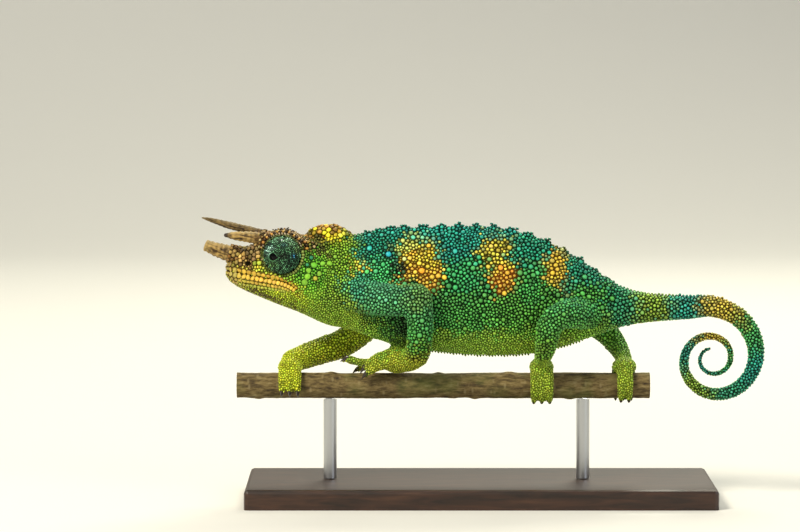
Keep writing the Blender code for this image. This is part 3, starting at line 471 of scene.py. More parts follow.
SOFT_FOLDS = (
    # X, Y and Z where a limb grows out of the trunk, and how far the skin runs without a crease
    (-39.0, 7.5, 60.5, 5.5),
    (-33.0, 7.0, 55.0, 4.0),
    (-30.0, 10.0, 66.5, 4.5),
    (30.0, 8.0, 59.0, 4.5),
    (34.0, 7.0, 53.0, 4.5),
)
SOFTENING = 46
BROW_SOFT, BROW_REACH = 0.30, 1.5  # the brow's ridge is rounded a little, within this reach
BROW_TURNS = range(15, 165, 8)  # degrees round the eye
BROW_ARC, BROW_Y = 7.4, 7.6  # how far the ridge lies from the eye's middle, and its Y
TOE_GROOVES = (
    # X of a foot's middle, its side of the stem, and where the skin dips between the fused toes
    (-57.0, -1, (-1.1, 1.1)),
    (-57.0, 1, (0.0,)),
    (18.5, -1, (-1.1, 1.1)),
    (18.5, 1, (0.0,)),
    (43.4, -1, (0.0,)),
    (43.4, 1, (-1.1, 1.1)),
)
GROOVE_DEPTH, GROOVE_WIDTH = 0.50, 0.45
CLAW_ROOT = 0.8  # the share by which the hide is drawn back from under each claw
SEPARATE = ("eye", "horn", "perch", "stand")
FLESH = sorted(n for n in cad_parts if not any(word in n for word in SEPARATE))
FINE = ("hand", "finger", "foot", "toes", "head", "jaw")


def node_arrays(name):
    """A solid's points in millimetres, each once, and its triangles."""
    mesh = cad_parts[name].data
    mesh.calc_loop_triangles()
    points = np.empty(len(mesh.vertices) * 3, np.float32)
    mesh.vertices.foreach_get("co", points)
    faces = np.empty(len(mesh.loop_triangles) * 3, np.int32)
    mesh.loop_triangles.foreach_get("vertices", faces)
    points, where = np.unique(points.reshape(-1, 3), axis=0, return_inverse=True)
    return points.astype(float) / MM, where.ravel()[faces].reshape(-1, 3)


def point_normals(points, faces):
    """Area-weighted normals at the points of a mesh of triangles or quads."""
    across = np.cross(
        points[faces[:, 2]] - points[faces[:, 0]], points[faces[:, -1]] - points[faces[:, 1]]
    )
    if faces.shape[1] == 3:
        across = np.cross(
            points[faces[:, 1]] - points[faces[:, 0]], points[faces[:, 2]] - points[faces[:, 0]]
        )
    total = np.zeros_like(points)
    for corner in faces.T:
        for axis in range(3):
            total[:, axis] += np.bincount(corner, across[:, axis], len(points))
    return total / np.maximum(np.linalg.norm(total, axis=1), 1e-12)[:, None]


def unit(rows):
    """The rows scaled to a length of one."""
    return rows / np.maximum(np.linalg.norm(rows, axis=-1), 1e-12)[..., None]


all_points, all_faces, owners = [], [], []
count = 0
for number, name in enumerate(FLESH):
    points, faces = node_arrays(name)
    all_points.append(points + point_normals(points, faces) * CLOSE_GAP)
    all_faces.append(faces + count)
    owners += [number] * len(faces)
    count += len(points)
# The flesh solids, pushed out until they meet, joined into one closed surface
flesh_points, flesh_faces = np.concatenate(all_points), np.concatenate(all_faces)
owners = np.array(owners)
flesh_tree = BVHTree.FromPolygons(flesh_points.tolist(), flesh_faces.tolist())
hide, tree, shader = finish("hide between scales", "1a2410", 0.8, Specular_IOR_Level=0.1)
rough = mesh_piece("hide_rough", flesh_points, flesh_faces, hide)
remesh = rough.modifiers.new("one hide", "REMESH")
remesh.mode, remesh.voxel_size = "VOXEL", VOXEL * MM
graph = bpy.context.evaluated_depsgraph_get()
joined = bpy.data.meshes.new_from_object(rough.evaluated_get(graph))
bpy.data.objects.remove(rough)
points = np.empty(len(joined.vertices) * 3, np.float32)
joined.vertices.foreach_get("co", points)
points = points.reshape(-1, 3).astype(float) / MM
quads = np.empty(len(joined.loops), np.int32)
joined.loops.foreach_get("vertex_index", quads)
quads = quads.reshape(-1, 4)
bpy.data.meshes.remove(joined)


def largest_shell(points, faces):
    """Only the largest of the surfaces that don't touch."""
    label = np.arange(len(points))
    while True:
        least = label[faces].min(1)
        before = label.copy()
        for corner in faces.T:
            np.minimum.at(label, corner, least)
        label = label[label]
        if (label == before).all():
            break
    kept = label == np.bincount(label).argmax()
    number = np.cumsum(kept) - 1
    return points[kept], number[faces[kept[faces[:, 0]]]]


points, quads = largest_shell(points, quads)
pairs = np.concatenate([quads[:, [i, (i + 1) % 4]] for i in range(4)])
pairs = np.unique(np.sort(pairs, axis=1), axis=0)
degree = np.bincount(pairs.ravel(), minlength=len(points))[:, None]


def neighbour_mean(values):
    """For each point of the hide, the mean of its neighbours' values."""
    total = np.zeros_like(values)
    for axis in range(values.shape[1]):
        total[:, axis] = np.bincount(pairs[:, 0], values[pairs[:, 1], axis], len(values))
        total[:, axis] += np.bincount(pairs[:, 1], values[pairs[:, 0], axis], len(values))
    return total / degree


# The solid nearest to each point tells the hide's region there, and how firm it is
owner_of = np.empty(len(points), int)
for i, place in enumerate(points):
    owner_of[i] = owners[flesh_tree.find_nearest(place)[2]]
fine_owner = np.array([any(word in name for word in FINE) for name in FLESH])
firm = np.where(fine_owner[owner_of], FIRMNESS, 1.0)[:, None]
for _ in range(6):
    firm = neighbour_mean(firm)
# Smoothed by steps inward and outward in turn, so that the form doesn't shrink
for n in range(RELAX_ROUNDS):
    share = 0.55 if n % 2 == 0 else -0.45
    if n >= RELAX_ROUNDS - 3:
        share = 0.4
    points = points + share * firm * (neighbour_mean(points) - points)
# Softened further where the limbs meet the trunk, and a little along the brows
soft = np.zeros((len(points), 1))
folded = np.column_stack([points[:, 0], np.abs(points[:, 1]), points[:, 2]])
for x, y, z, reach in SOFT_FOLDS:
    far = np.linalg.norm(folded - (x, y, z), axis=1)
    soft[:, 0] = np.maximum(soft[:, 0], np.exp(-((far / reach) ** 4)))
for degrees in BROW_TURNS:
    c, s = math.cos(math.radians(degrees)), math.sin(math.radians(degrees))
    along = (BROW_ARC * c, BROW_Y - EYE_Y - 1.5 * s, BROW_ARC * s)
    far = np.linalg.norm(folded - np.array(EYE_CENTRE) - along, axis=1)
    soft[:, 0] = np.maximum(soft[:, 0], BROW_SOFT * np.exp(-((far / BROW_REACH) ** 4)))
for _ in range(SOFTENING):
    points = points + 0.5 * soft * (neighbour_mean(points) - points)
# Drawn back from under the claws, then sunk to make room for the coat
for tip, heading, _ in claws:
    drawn = np.clip(past_toe(points, tip, heading), 0, None) * CLAW_ROOT
    points = points - np.outer(drawn, heading)
out = point_normals(points, quads)
hide_tree = BVHTree.FromPolygons(points.tolist(), quads.tolist())
thick = np.empty(len(points))
for i, (place, way) in enumerate(zip(points, out)):
    found = hide_tree.ray_cast(Vector(place - way * 0.05), Vector(-way))
    thick[i] = found[3] if found[0] else 20.0
depth = CLOSE_GAP + np.minimum(COAT_DEPTH, THIN_SHARE * thick)[:, None]
for _ in range(4):
    depth = neighbour_mean(depth)


def smooth_line(rows, per_span=24):
    """Rows filled in between by a Catmull-Rom curve through them."""
    rows = np.array(rows, float)
    padded = np.vstack([2 * rows[0] - rows[1], rows, 2 * rows[-1] - rows[-2]])
    t = np.linspace(0, 1, per_span, endpoint=False)[:, None]
    filled = []
    for before, start, end, after in zip(padded, padded[1:], padded[2:], padded[3:]):
        rise, fall = end - before, after - start
        filled.append(
            start
            + t * (0.5 * rise)
            + t**2 * (3 * (end - start) - rise - 0.5 * fall)
            + t**3 * (2 * (start - end) + 0.5 * rise + 0.5 * fall)
        )
    return np.vstack([*filled, rows[-1:]])


mouth = smooth_line(MOUTH_LINE)


def mouth_distance(places):
    """Distance in side view from the line of the mouth."""
    gap = np.full(len(places), 99.0)
    near = (places[:, 0] < -50) & (places[:, 2] > 57) & (places[:, 2] < 72)
    beside = places[near][:, None, [0, 2]] - mouth[None]
    gap[near] = np.linalg.norm(beside, axis=2).min(1)
    return gap


def nostril_distance(places):
    """Distance in side view from the nostrils, one on each side of the snout."""
    beside = places[:, [0, 2]] - np.array(NOSTRIL)
    return np.where(np.abs(places[:, 1]) > 2.5, np.linalg.norm(beside, axis=1), 99.0)


depth[:, 0] += MOUTH_DEPTH * np.exp(-((mouth_distance(points) / MOUTH_HALF_WIDTH) ** 2))
depth[:, 0] += NOSTRIL_DEPTH * np.exp(-((nostril_distance(points) / NOSTRIL_RADIUS) ** 2))
for x, side, offsets in TOE_GROOVES:
    for offset in offsets:
        beside = (points[:, 0] - x - offset) / GROOVE_WIDTH
        low = np.clip((PERCH_HEIGHT + 3.5 - points[:, 2]) / 2.5, 0, 1)
        own_side = side * points[:, 1] > 1.0
        depth[:, 0] += GROOVE_DEPTH * low * own_side * np.exp(-(beside**2))
hide_points = points - out * depth
on_top = (out[:, 2] > 0.25) & (points[:, 2] > 60) & (points[:, 0] > -36) & (points[:, 0] < 41)
for x, height in CREST_MOUNDS:
    run, across = (hide_points[:, 0] - x) / MOUND_LENGTH, hide_points[:, 1] / MOUND_WIDTH
    hide_points[:, 2] += on_top * height * np.exp(-(run**2) - across**2)
hide_out = point_normals(hide_points, quads)
hide_tree = BVHTree.FromPolygons(hide_points.tolist(), quads.tolist())

# Markings.
# The colours lie in the hide and in its scales alike. Each tint below is a soft patch, given by
# its place and reach in side view, and where patches meet the scales of both are mixed.
BODY_TINTS = (
    # X, Z, reach along X and along Z, colour, weight
    (-75.4, 70.6, 2.4, 1.6, "a8964c", 1.8),
    (-74.0, 75.0, 3.4, 2.8, "94783e", 2.2),
    (-70.9, 72.4, 2.6, 1.8, "665024", 2.2),
    (-68.0, 76.4, 4.4, 2.2, "96804a", 2.0),
    (-66.7, 71.2, 1.7, 1.1, "e6d43a", 2.6),
    (-65.5, 73.3, 0.8, 1.5, "d4c83c", 1.8),
    (-70.5, 69.8, 3.6, 0.9, "b4ac3c", 1.4),
    (-65.0, 79.6, 4.0, 2.2, "a98756", 1.8),
    (-58.5, 81.9, 5.5, 1.6, "8f7a48", 1.8),
    (-52.6, 79.0, 2.2, 2.0, "86682c", 2.4),
    (-49.4, 76.4, 3.2, 1.9, "66682a", 3.0),
    (-52.4, 74.0, 1.4, 2.2, "4f6a20", 1.6),
    (-47.0, 79.9, 3.4, 1.3, "f0dc28", 3.4),
    (-44.0, 82.5, 5.0, 1.5, "b98c34", 2.8),
    (-41.0, 79.6, 2.0, 2.0, "a9b032", 1.6),
    (-62.5, 68.7, 6.0, 1.5, "bccb3c", 1.6),
    (-57.0, 68.0, 4.0, 1.6, "86bd2e", 1.6),
    (-50.6, 70.2, 4.4, 3.6, "62b22a", 2.0),
    (-46.0, 64.0, 5.0, 4.4, "7aa830", 1.4),
    (-70.0, 65.6, 4.6, 2.2, "b4ae3e", 1.6),
    (-61.0, 62.4, 5.5, 3.0, "a6b82e", 1.6),
    (-71.2, 64.5, 1.3, 0.8, "57481a", 4.0),
    (-69.2, 63.4, 1.3, 0.8, "4f4214", 5.0),
    (-67.1, 62.4, 1.3, 0.8, "4f4214", 5.0),
    (-65.0, 61.6, 1.3, 0.8, "4a3e12", 5.0),
    (-62.8, 60.9, 1.3, 0.8, "4a3e12", 5.0),
    (-60.6, 60.2, 1.3, 0.8, "4a3e12", 5.0),
    (-58.4, 59.3, 1.3, 0.8, "4a3e12", 4.5),
    (-56.2, 58.2, 1.3, 0.8, "50481a", 4.0),
    (-54.0, 57.0, 1.3, 0.8, "565020", 3.0),
    (-55.0, 58.6, 4.5, 2.6, "94ae2a", 1.4),
    (-41.5, 72.6, 4.5, 5.6, "7fac2c", 1.6),
    (-44.0, 56.5, 7.0, 4.5, "7f9e32", 1.6),
    (-36.2, 71.2, 1.5, 1.1, "e4c844", 3.0),
    (-37.5, 52.0, 6.0, 4.0, "84a032", 1.4),
    (-36.4, 64.6, 3.6, 3.4, "3fa27c", 1.6),
    (-31.0, 76.4, 5.0, 4.2, "1f8a6c", 2.0),
    (-29.0, 69.6, 4.6, 3.6, "4fc070", 1.8),
    (-26.0, 82.0, 7.0, 2.4, "1f947a", 1.8),
    (-13.5, 81.6, 7.0, 3.0, "22a08a", 2.0),
    (-21.2, 76.8, 3.4, 1.7, "ccd660", 2.2),
    (-15.8, 77.4, 2.6, 1.8, "a8c46c", 1.6),
    (-18.6, 73.0, 3.7, 3.0, "d9c238", 3.2),
    (-19.4, 70.4, 2.6, 1.8, "e6ae3a", 1.8),
    (-16.2, 68.4, 2.8, 2.0, "dcb23c", 2.8),
    (-22.6, 68.5, 2.4, 1.3, "d9b23c", 2.2),
    (-25.2, 70.0, 1.5, 0.9, "0e160a", 9.0),
    (-25.6, 73.0, 1.6, 2.2, "1d5a48", 1.8),
    (-6.0, 77.0, 4.6, 4.0, "1f957e", 1.8),
    (-3.5, 68.0, 4.4, 4.5, "37a25c", 1.6),
    (4.5, 74.0, 3.6, 4.0, "cdc040", 2.4),
    (7.5, 68.4, 3.2, 2.8, "d3a234", 2.6),
    (4.0, 82.0, 9.0, 2.4, "209a86", 1.8),
    (14.5, 74.6, 4.4, 4.2, "229873", 1.6),
    (15.0, 65.0, 4.6, 4.4, "45a24c", 1.5),
    (22.5, 69.8, 2.8, 3.2, "d6b636", 2.0),
    (29.5, 68.8, 4.4, 4.2, "22906e", 1.6),
    (31.5, 61.0, 4.6, 4.2, "50a142", 1.5),
    (-24.0, 58.0, 9.0, 5.0, "3c8a4c", 1.2),
    (-28.6, 54.6, 3.4, 4.0, "46863a", 1.8),
    # A dark patch under the near arm: partly the skin's own dark green, partly painted shade
    (-23.8, 53.0, 2.2, 4.4, "2c4a22", 2.4),
    (-5.0, 57.0, 9.0, 5.0, "4b9c44", 1.3),
    (12.0, 56.0, 9.0, 5.0, "579f3c", 1.3),
    (-33.0, 50.6, 5.0, 3.0, "7ea83a", 1.4),
    (-6.0, 46.5, 12.0, 4.0, "769832", 1.4),
    (16.0, 47.0, 12.0, 4.0, "7c9a32", 1.4),
    (33.0, 52.0, 8.0, 4.5, "6f9c34", 1.3),
    (43.0, 58.0, 6.0, 6.0, "2f9262", 1.2),
)
TAIL_TINTS = ("3da277", "8fb23e", "2f9f86", "c9b443", "4aa95a", "2a9a84")
LIMB_TINTS = {
    # each tint with how far below the shoulder or hip it lies
    "near arm": (
        ("52a274", -8.0),
        ("56a468", -1.0),
        ("4ea04a", 7.0),
        ("66a036", 11.0),
        ("96a02c", 15.0),
    ),
    # The far arm's colours are partly its own olive and partly painted yellow-green light, as if
    # lit through from behind
    "far arm": (("6b8c22", -8.0), ("7f9a20", 4.0), ("9bab22", 11.0), ("aab428", 16.0)),
    "leg": (("3f9a70", -8.0), ("52a556", 0.0), ("5ea03c", 8.0), ("74a034", 14.0), ("8a9e2e", 19.0)),
}
# The hide's brightness is partly its own dark colour and partly painted shade in the gaps between
# scales
HIDE_SHARE, FINE_HIDE_SHARE = 0.09, 0.34  # how bright the hide is between coarse and fine scales
HIDE_DEPTH = 1.5  # how much deeper in hue than its scales
FINE_LIFT = 1.38  # fine scales are a little paler, as there are more gaps between them
# The belly's lift is partly the animal's paler belly and partly painted fill light from below
BELLY_PALE_AND_FILL_LIGHT = 0.42  # the belly and the low chest are paler still
WARP_MM, WARP_PITCH_MM = 1.5, 5.0  # how far a patch's edge wanders, and in what length
HIDE_WRINKLES_PER_MM = 3.5
TAIL_MIDDLE, TAIL_REACH, TAIL_SHRINK = (70.0, 42.0), 16.0, 2.3  # a coil that shrinks each turn
TAIL_ROOT, TAIL_STRAIGHT = 40.0, 30.0  # its X at the trunk, and its run before the coil
TAIL_BAND = 11.0
HEAD, NECK, TORSO, TAIL, ARM, LEG, HAND, FOOT = range(8)
WORDS = {
    # the words of a solid's name that tell its region
    HEAD: ("head", "jaw"),
    NECK: ("neck",),
    TORSO: ("torso",),
    TAIL: ("tail",),
    ARM: ("arm",),
    LEG: ("thigh", "shank"),
    HAND: ("hand",),
    FOOT: ("foot",),
}


def region_of(name):
    """The region of the animal that a solid belongs to."""
    return next(region for region, words in WORDS.items() if any(w in name for w in words))


node_region = np.array([region_of(name) for name in FLESH])


def ripple(places, pitch, seed):
    """A smooth unevenness from -1 to 1 that repeats nowhere near."""
    turns = np.random.default_rng(seed)
    total = np.zeros(len(places))
    for _ in range(5):
        way = turns.normal(size=3)
        way *= 2 * math.pi / pitch * turns.uniform(0.6, 1.5) / np.linalg.norm(way)
        total += np.sin(places @ way + turns.uniform(0, 2 * math.pi))
    return total / 2.4


def fineness(places, regions):
    """0 where the scales are coarse, and 1 on the throat, belly, hands and feet."""
    x, z = places[:, 0], places[:, 2]
    fine = np.clip((66.0 - z) / 3.0, 0, 1) * (regions == HEAD)
    fine += np.clip((63.0 - z) / 8.0, 0, 1) * (regions == NECK)
    chest = 0.25 * np.clip(-30.0 - x, 0, 8)
    fine += np.clip((53.0 - z + chest) / 7.0, 0, 1) * (regions == TORSO)
    fine += ((regions == ARM) | (regions == LEG)) * np.where(places[:, 1] > 0, 0.7, 0.15)
    return fine + (regions >= HAND)


def blended(tints, across, up):
    """The mix of soft patches at places in side view."""
    weight = np.zeros((len(across), len(tints)))
    for n, (x, z, reach_x, reach_z, _, strength) in enumerate(tints):
        far = ((across - x) / reach_x) ** 2 + ((up - z) / reach_z) ** 2
        weight[:, n] = (strength * np.exp(-far) + 1e-7 / (1 + far)) ** 1.6
    colours = np.array([linear(t[4]) for t in tints])
    return weight @ colours / weight.sum(1)[:, None]


def tail_turn(places):
    """How far along the tail a place is, in millimetres from the trunk."""
    x, z = places[:, 0], places[:, 2]
    right, up = x - TAIL_MIDDLE[0], z - TAIL_MIDDLE[1]
    turn = (np.arctan2(right, up) / (2 * math.pi)) % 1.0
    shrunk = np.log(TAIL_REACH / np.maximum(np.hypot(right, up), 0.5)) / math.log(TAIL_SHRINK)
    turns = np.clip(turn + np.round(shrunk - turn), 0, 2)
    run = TAIL_REACH * (1 - TAIL_SHRINK**-turns) / math.log(TAIL_SHRINK) * 2 * math.pi
    return np.where((x < 68) & (z > 50), x - TAIL_ROOT, TAIL_STRAIGHT + run)


def markings(places, regions):
    """The pigment at each place, in linear colour."""
    warped = places.copy()
    warped[:, 0] += WARP_MM * ripple(places, WARP_PITCH_MM, 3)
    warped[:, 2] += WARP_MM * ripple(places, WARP_PITCH_MM, 4)
    result = blended(BODY_TINTS, warped[:, 0], warped[:, 2])
    for kind, tints in LIMB_TINTS.items():
        chosen = np.isin(regions, (ARM, HAND) if "arm" in kind else (LEG, FOOT))
        if "arm" in kind:
            near = (places[:, 0] > -43.0) & (places[:, 1] < 1.5)
            chosen &= near == (kind == "near arm")
        # The near arm runs into the trunk's colours ahead of the shoulder, and is olive behind
        drop = 58.0 - warped[chosen, 2]
        trunk = np.clip((-32.0 - warped[chosen, 0]) / 6.0, 0, 1) * (kind == "near arm")
        elbow = np.clip((warped[chosen, 0] + 25.0) / 6.0, 0, 0.8) * np.clip((1 - drop) / 4.0, 0, 1)
        elbow *= kind == "near arm"
        stops = np.array([t[1] for t in tints])
        colours = np.array([linear(t[0]) for t in tints])
        for channel in range(3):
            plain = np.interp(drop, stops, colours[:, channel])
            plain = plain + (linear("6c9a48")[channel] - plain) * elbow
            result[chosen, channel] = plain + (result[chosen, channel] - plain) * trunk
    chosen = regions == TAIL
    run = tail_turn(warped[chosen]) / TAIL_BAND
    colours = np.array([linear(t) for t in TAIL_TINTS])
    first = np.floor(run).astype(int)
    share = np.clip((run - first - 0.2) / 0.6, 0, 1)[:, None]
    bands = len(colours)
    banded = colours[first % bands] * (1 - share) + colours[(first + 1) % bands] * share
    ahead = np.clip((places[chosen, 0] - TAIL_ROOT) / 8.0, 0, 1)[:, None]
    result[chosen] = result[chosen] * (1 - ahead) + banded * ahead
    # The belly and low chest are paler, as the animal is, and lifted further as painted fill light
    # from below
    trunk = (regions == NECK) | (regions == TORSO)
    belly = np.clip((59.0 - places[:, 2]) / 9.0, 0, 1) * trunk
    lift = 1 + (FINE_LIFT - 1) * fineness(places, regions) + BELLY_PALE_AND_FILL_LIGHT * belly
    return result * lift[:, None]


def paint(piece, colours):
    """Stores linear colours on a piece's points."""
    layer = piece.data.color_attributes.new("pigment", "FLOAT_COLOR", "POINT")
    rows = np.ones((len(colours), 4), np.float32)
    rows[:, :3] = colours
    layer.data.foreach_set("color", rows.ravel())


# Hide: soft and dry, dark in its own colour and painted darker still between the scales, as painted
# shade in the gaps
pigment = add(tree, "ShaderNodeAttribute", attribute_name="pigment").outputs["Color"]
tree.links.new(pigment, shader.inputs["Base Color"])
wrinkle = add(
    tree,
    "ShaderNodeTexNoise",
    {"Scale": HIDE_WRINKLES_PER_MM / MM, "Detail": 3.0},
    {"Vector": add(tree, "ShaderNodeTexCoord").outputs["Object"]},
).outputs["Fac"]
bump = add(tree, "ShaderNodeBump", {"Strength": 0.5, "Distance": 0.0001}, {"Height": wrinkle})
tree.links.new(bump.outputs["Normal"], shader.inputs["Normal"])
hide_piece = mesh_piece("hide", hide_points, quads, hide)
fine = fineness(hide_points, node_region[owner_of])[:, None]
# Darkened both as the hide's own deeper colour and as painted shade between the scales
hide_colours = markings(hide_points, node_region[owner_of]) ** (HIDE_DEPTH - 0.3 * fine)
hide_colours *= HIDE_SHARE + (FINE_HIDE_SHARE - HIDE_SHARE) * fine
# The hide is red-brown in the orange patches and russet about the mouth. A thin dark line in the
# mouth's slit is painted shade, and the nostrils are painted black as the shade inside them
warm = np.clip(hide_colours[:, 0] / np.maximum(hide_colours[:, 1], 1e-6) - 1.3, 0, 1)[:, None]
hide_colours *= 1 + warm * np.array((2.0, 0.8, 0.4))
for colour, strength, reach in (("96601e", 0.55, 1.6), ("4a1c06", 0.40, 0.55)):
    in_mouth = np.exp(-((mouth_distance(hide_points) / reach) ** 4))[:, None]
    hide_colours = hide_colours * (1 - in_mouth) + linear(colour) * strength * in_mouth
# Painted shade: the hide in each nostril is painted black
nostril_painted_shade = np.exp(-((nostril_distance(hide_points) / 0.95) ** 4))[:, None]
hide_colours *= 1 - 0.97 * nostril_painted_shade
paint(hide_piece, hide_colours)
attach(hide_piece, "root")
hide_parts(*FLESH)

# Scales of the crests, lips, brows, cheeks and flanks.
# Keratin grown on the hide, each scale in a row or place of its own: squarish plates along the
# lips, low plates on the brows and round the eyes, nostrils and nose horn, large rounds on the
# cheeks and flanks, a low crest along the back, and small cones under the belly and on the tail.
SHAPES = {
    # height, and form, from -1 for a flat plate through 0 for a dome to 1 for a cone
    "lip": (0.26, -0.9),
    "cheek": (0.36, -0.2),
    "flank": (0.40, 0.0),
    "rim": (0.26, -0.3),
    "nostril": (0.24, -0.2),
    "horn foot": (0.34, -0.2),
}
BROW_FORM, BACK_FORM, BELLY_FORM, TAIL_FORM = -0.1, 0.15, 0.75, 0.5
LABIAL_ROWS = (
    # above or below the mouth, distance from it, spacing, size, colour
    (1, 0.90, 1.50, 1.36, "ccaa3c"),
    (-1, 0.86, 1.38, 1.28, "ceae40"),
    (-1, 2.04, 1.30, 1.16, "c6ae40"),
    (-1, 3.10, 1.16, 0.98, "aaae40"),
)
LABIAL_TAPER = ((0.0, 0.85), (0.12, 1.0), (0.62, 0.92), (1.0, 0.62))  # size along each row
LIP_FRONT, LIP_FRONT_TINT = 2.2, "a39044"
BROW_RADIUS, BROW_SPACING, BROW_SPAN = 7.0, 0.90, (14, 162)
BROW_ROWS = (
    # how far in from the ridge's edge, size, height, colours in turn
    (0.25, 1.00, 0.36, ("e0c694", "b89860")),
    (-0.75, 1.05, 0.55, ("b5873c", "34240c")),
    (-1.75, 0.95, 0.34, ("c9b276", "7c5e2c")),
)
RIM_ROUNDS, RIM_RADIUS, RIM_SIZE = 44, 6.26, 0.90
NOSTRIL_ROUNDS, NOSTRIL_RIM, NOSTRIL_SIZE = 9, (1.25, 1.0), 0.66
HORN_FOOT, HORN_WAY = Vector((-73.5, 0.0, 73.5)), Vector((-0.958, 0.0, 0.287))
HORN_FOOT_RINGS, HORN_FOOT_ROUNDS, HORN_FOOT_RADIUS = (-0.9, 0.35, 1.5), 13, 2.78
BACK_ROW, BELLY_ROW, TAIL_ROW = (-38.6, 39.0, 1.08), (-35.0, 31.0, 0.90), (40.0, 69.0, 1.05)
COIL_TURNS, COIL_STEP = 1.1, 0.012
CHEEK_ROUNDS = (
    # X and Z, size, colour
    (-49.6, 71.1, 2.1, "6baf2d"),
    (-47.0, 71.5, 1.65, "7bb334"),
    (-45.0, 71.5, 1.75, "7ab32e"),
    (-51.2, 69.5, 1.75, "72af2d"),
    (-48.0, 68.5, 1.60, "77ac30"),
    (-51.5, 67.7, 2.00, "88ba2d"),
    (-49.2, 67.1, 1.50, "aaaa34"),
    (-52.4, 65.9, 2.10, "78ae2d"),
    (-50.4, 73.3, 1.30, "287b54"),
    (-51.6, 71.2, 1.10, "368a5b"),
    (-46.3, 69.5, 1.20, "73a72e"),
    (-44.0, 69.0, 1.20, "77ac34"),
    (-43.4, 73.4, 1.25, "7bac34"),
    (-45.6, 74.8, 1.15, "86af37"),
)
FLANK_ROUNDS = (
    # X and Z, size, colour
    (-33.1, 75.8, 1.80, "2fb8a4"),
    (-27.4, 74.1, 2.00, "22aab2"),
    (-33.1, 79.5, 1.40, "2fae94"),
    (-29.5, 79.6, 1.40, "2cac90"),
    (-26.2, 80.2, 1.40, "2fb59c"),
    (-20.1, 78.9, 1.55, "62cfa8"),
    (-17.3, 78.9, 1.40, "7fd0a0"),
    (-17.5, 69.3, 2.00, "f0a62e"),
    (-21.1, 73.0, 1.50, "efc94a"),
    (-22.7, 72.7, 1.40, "c9dc84"),
    (-29.0, 71.1, 1.50, "3fb96a"),
    (-31.7, 71.9, 1.40, "48b86a"),
    (-33.8, 68.9, 1.50, "56c06a"),
    (-31.2, 69.1, 1.50, "4cbf70"),
    (-30.0, 61.8, 1.30, "5fc08a"),
    (-28.1, 61.2, 1.30, "62c08c"),
    (-25.3, 60.5, 1.30, "62c08c"),
    (-17.5, 55.2, 1.50, "58b060"),
    (-18.2, 50.7, 1.70, "55b058"),
    (-15.4, 49.5, 1.50, "55b058"),
    (-19.0, 48.6, 1.40, "5cb052"),
    (-16.2, 52.7, 1.40, "55b060"),
    (-7.5, 75.0, 1.70, "2cb498"),
    (-1.5, 71.3, 1.45, "3cb47e"),
    (-9.5, 69.6, 1.45, "42b56a"),
    (6.0, 70.2, 1.80, "efa834"),
    (3.2, 76.4, 1.45, "e4d05a"),
    (11.5, 75.6, 1.50, "2fb494"),
    (17.0, 68.6, 1.50, "4ab868"),
    (20.6, 74.4, 1.35, "2fb08c"),
    (23.0, 69.6, 1.45, "e2bc40"),
    (28.5, 66.0, 1.35, "40ac80"),
)
row = {"place": [], "out": [], "size": [], "height": [], "cone": [], "colour": [], "region": []}


def set_scale(place, way, size, height, cone, colour, region):
    """Notes one scale to be set at a place of its own."""
    row["place"].append(tuple(place))
    row["out"].append(tuple(way))
    row["size"].append(size)
    row["height"].append(height)
    row["cone"].append(cone)
    row["colour"].append(tuple(colour))
    row["region"].append(region)


def side_hit(x, z, side):
    """Place, normal and region where the hide is met from one side, or None for each."""
    place, way, face, _ = hide_tree.ray_cast(Vector((x, side * 30.0, z)), Vector((0, -side, 0)))
    return place, way, place and node_region[owner_of[quads[face, 0]]]


def pigment_at(place, region):
    """The animal's own colour at one place."""
    return markings(np.array([place]), np.array([region]))[0]


chance = np.random.default_rng(11)


def varied(colour, spread=0.12):
    """A hex colour with a little chance in its brightness and in each channel."""
    return linear(colour) * chance.normal(1, spread) * chance.normal(1, 0.05, 3)


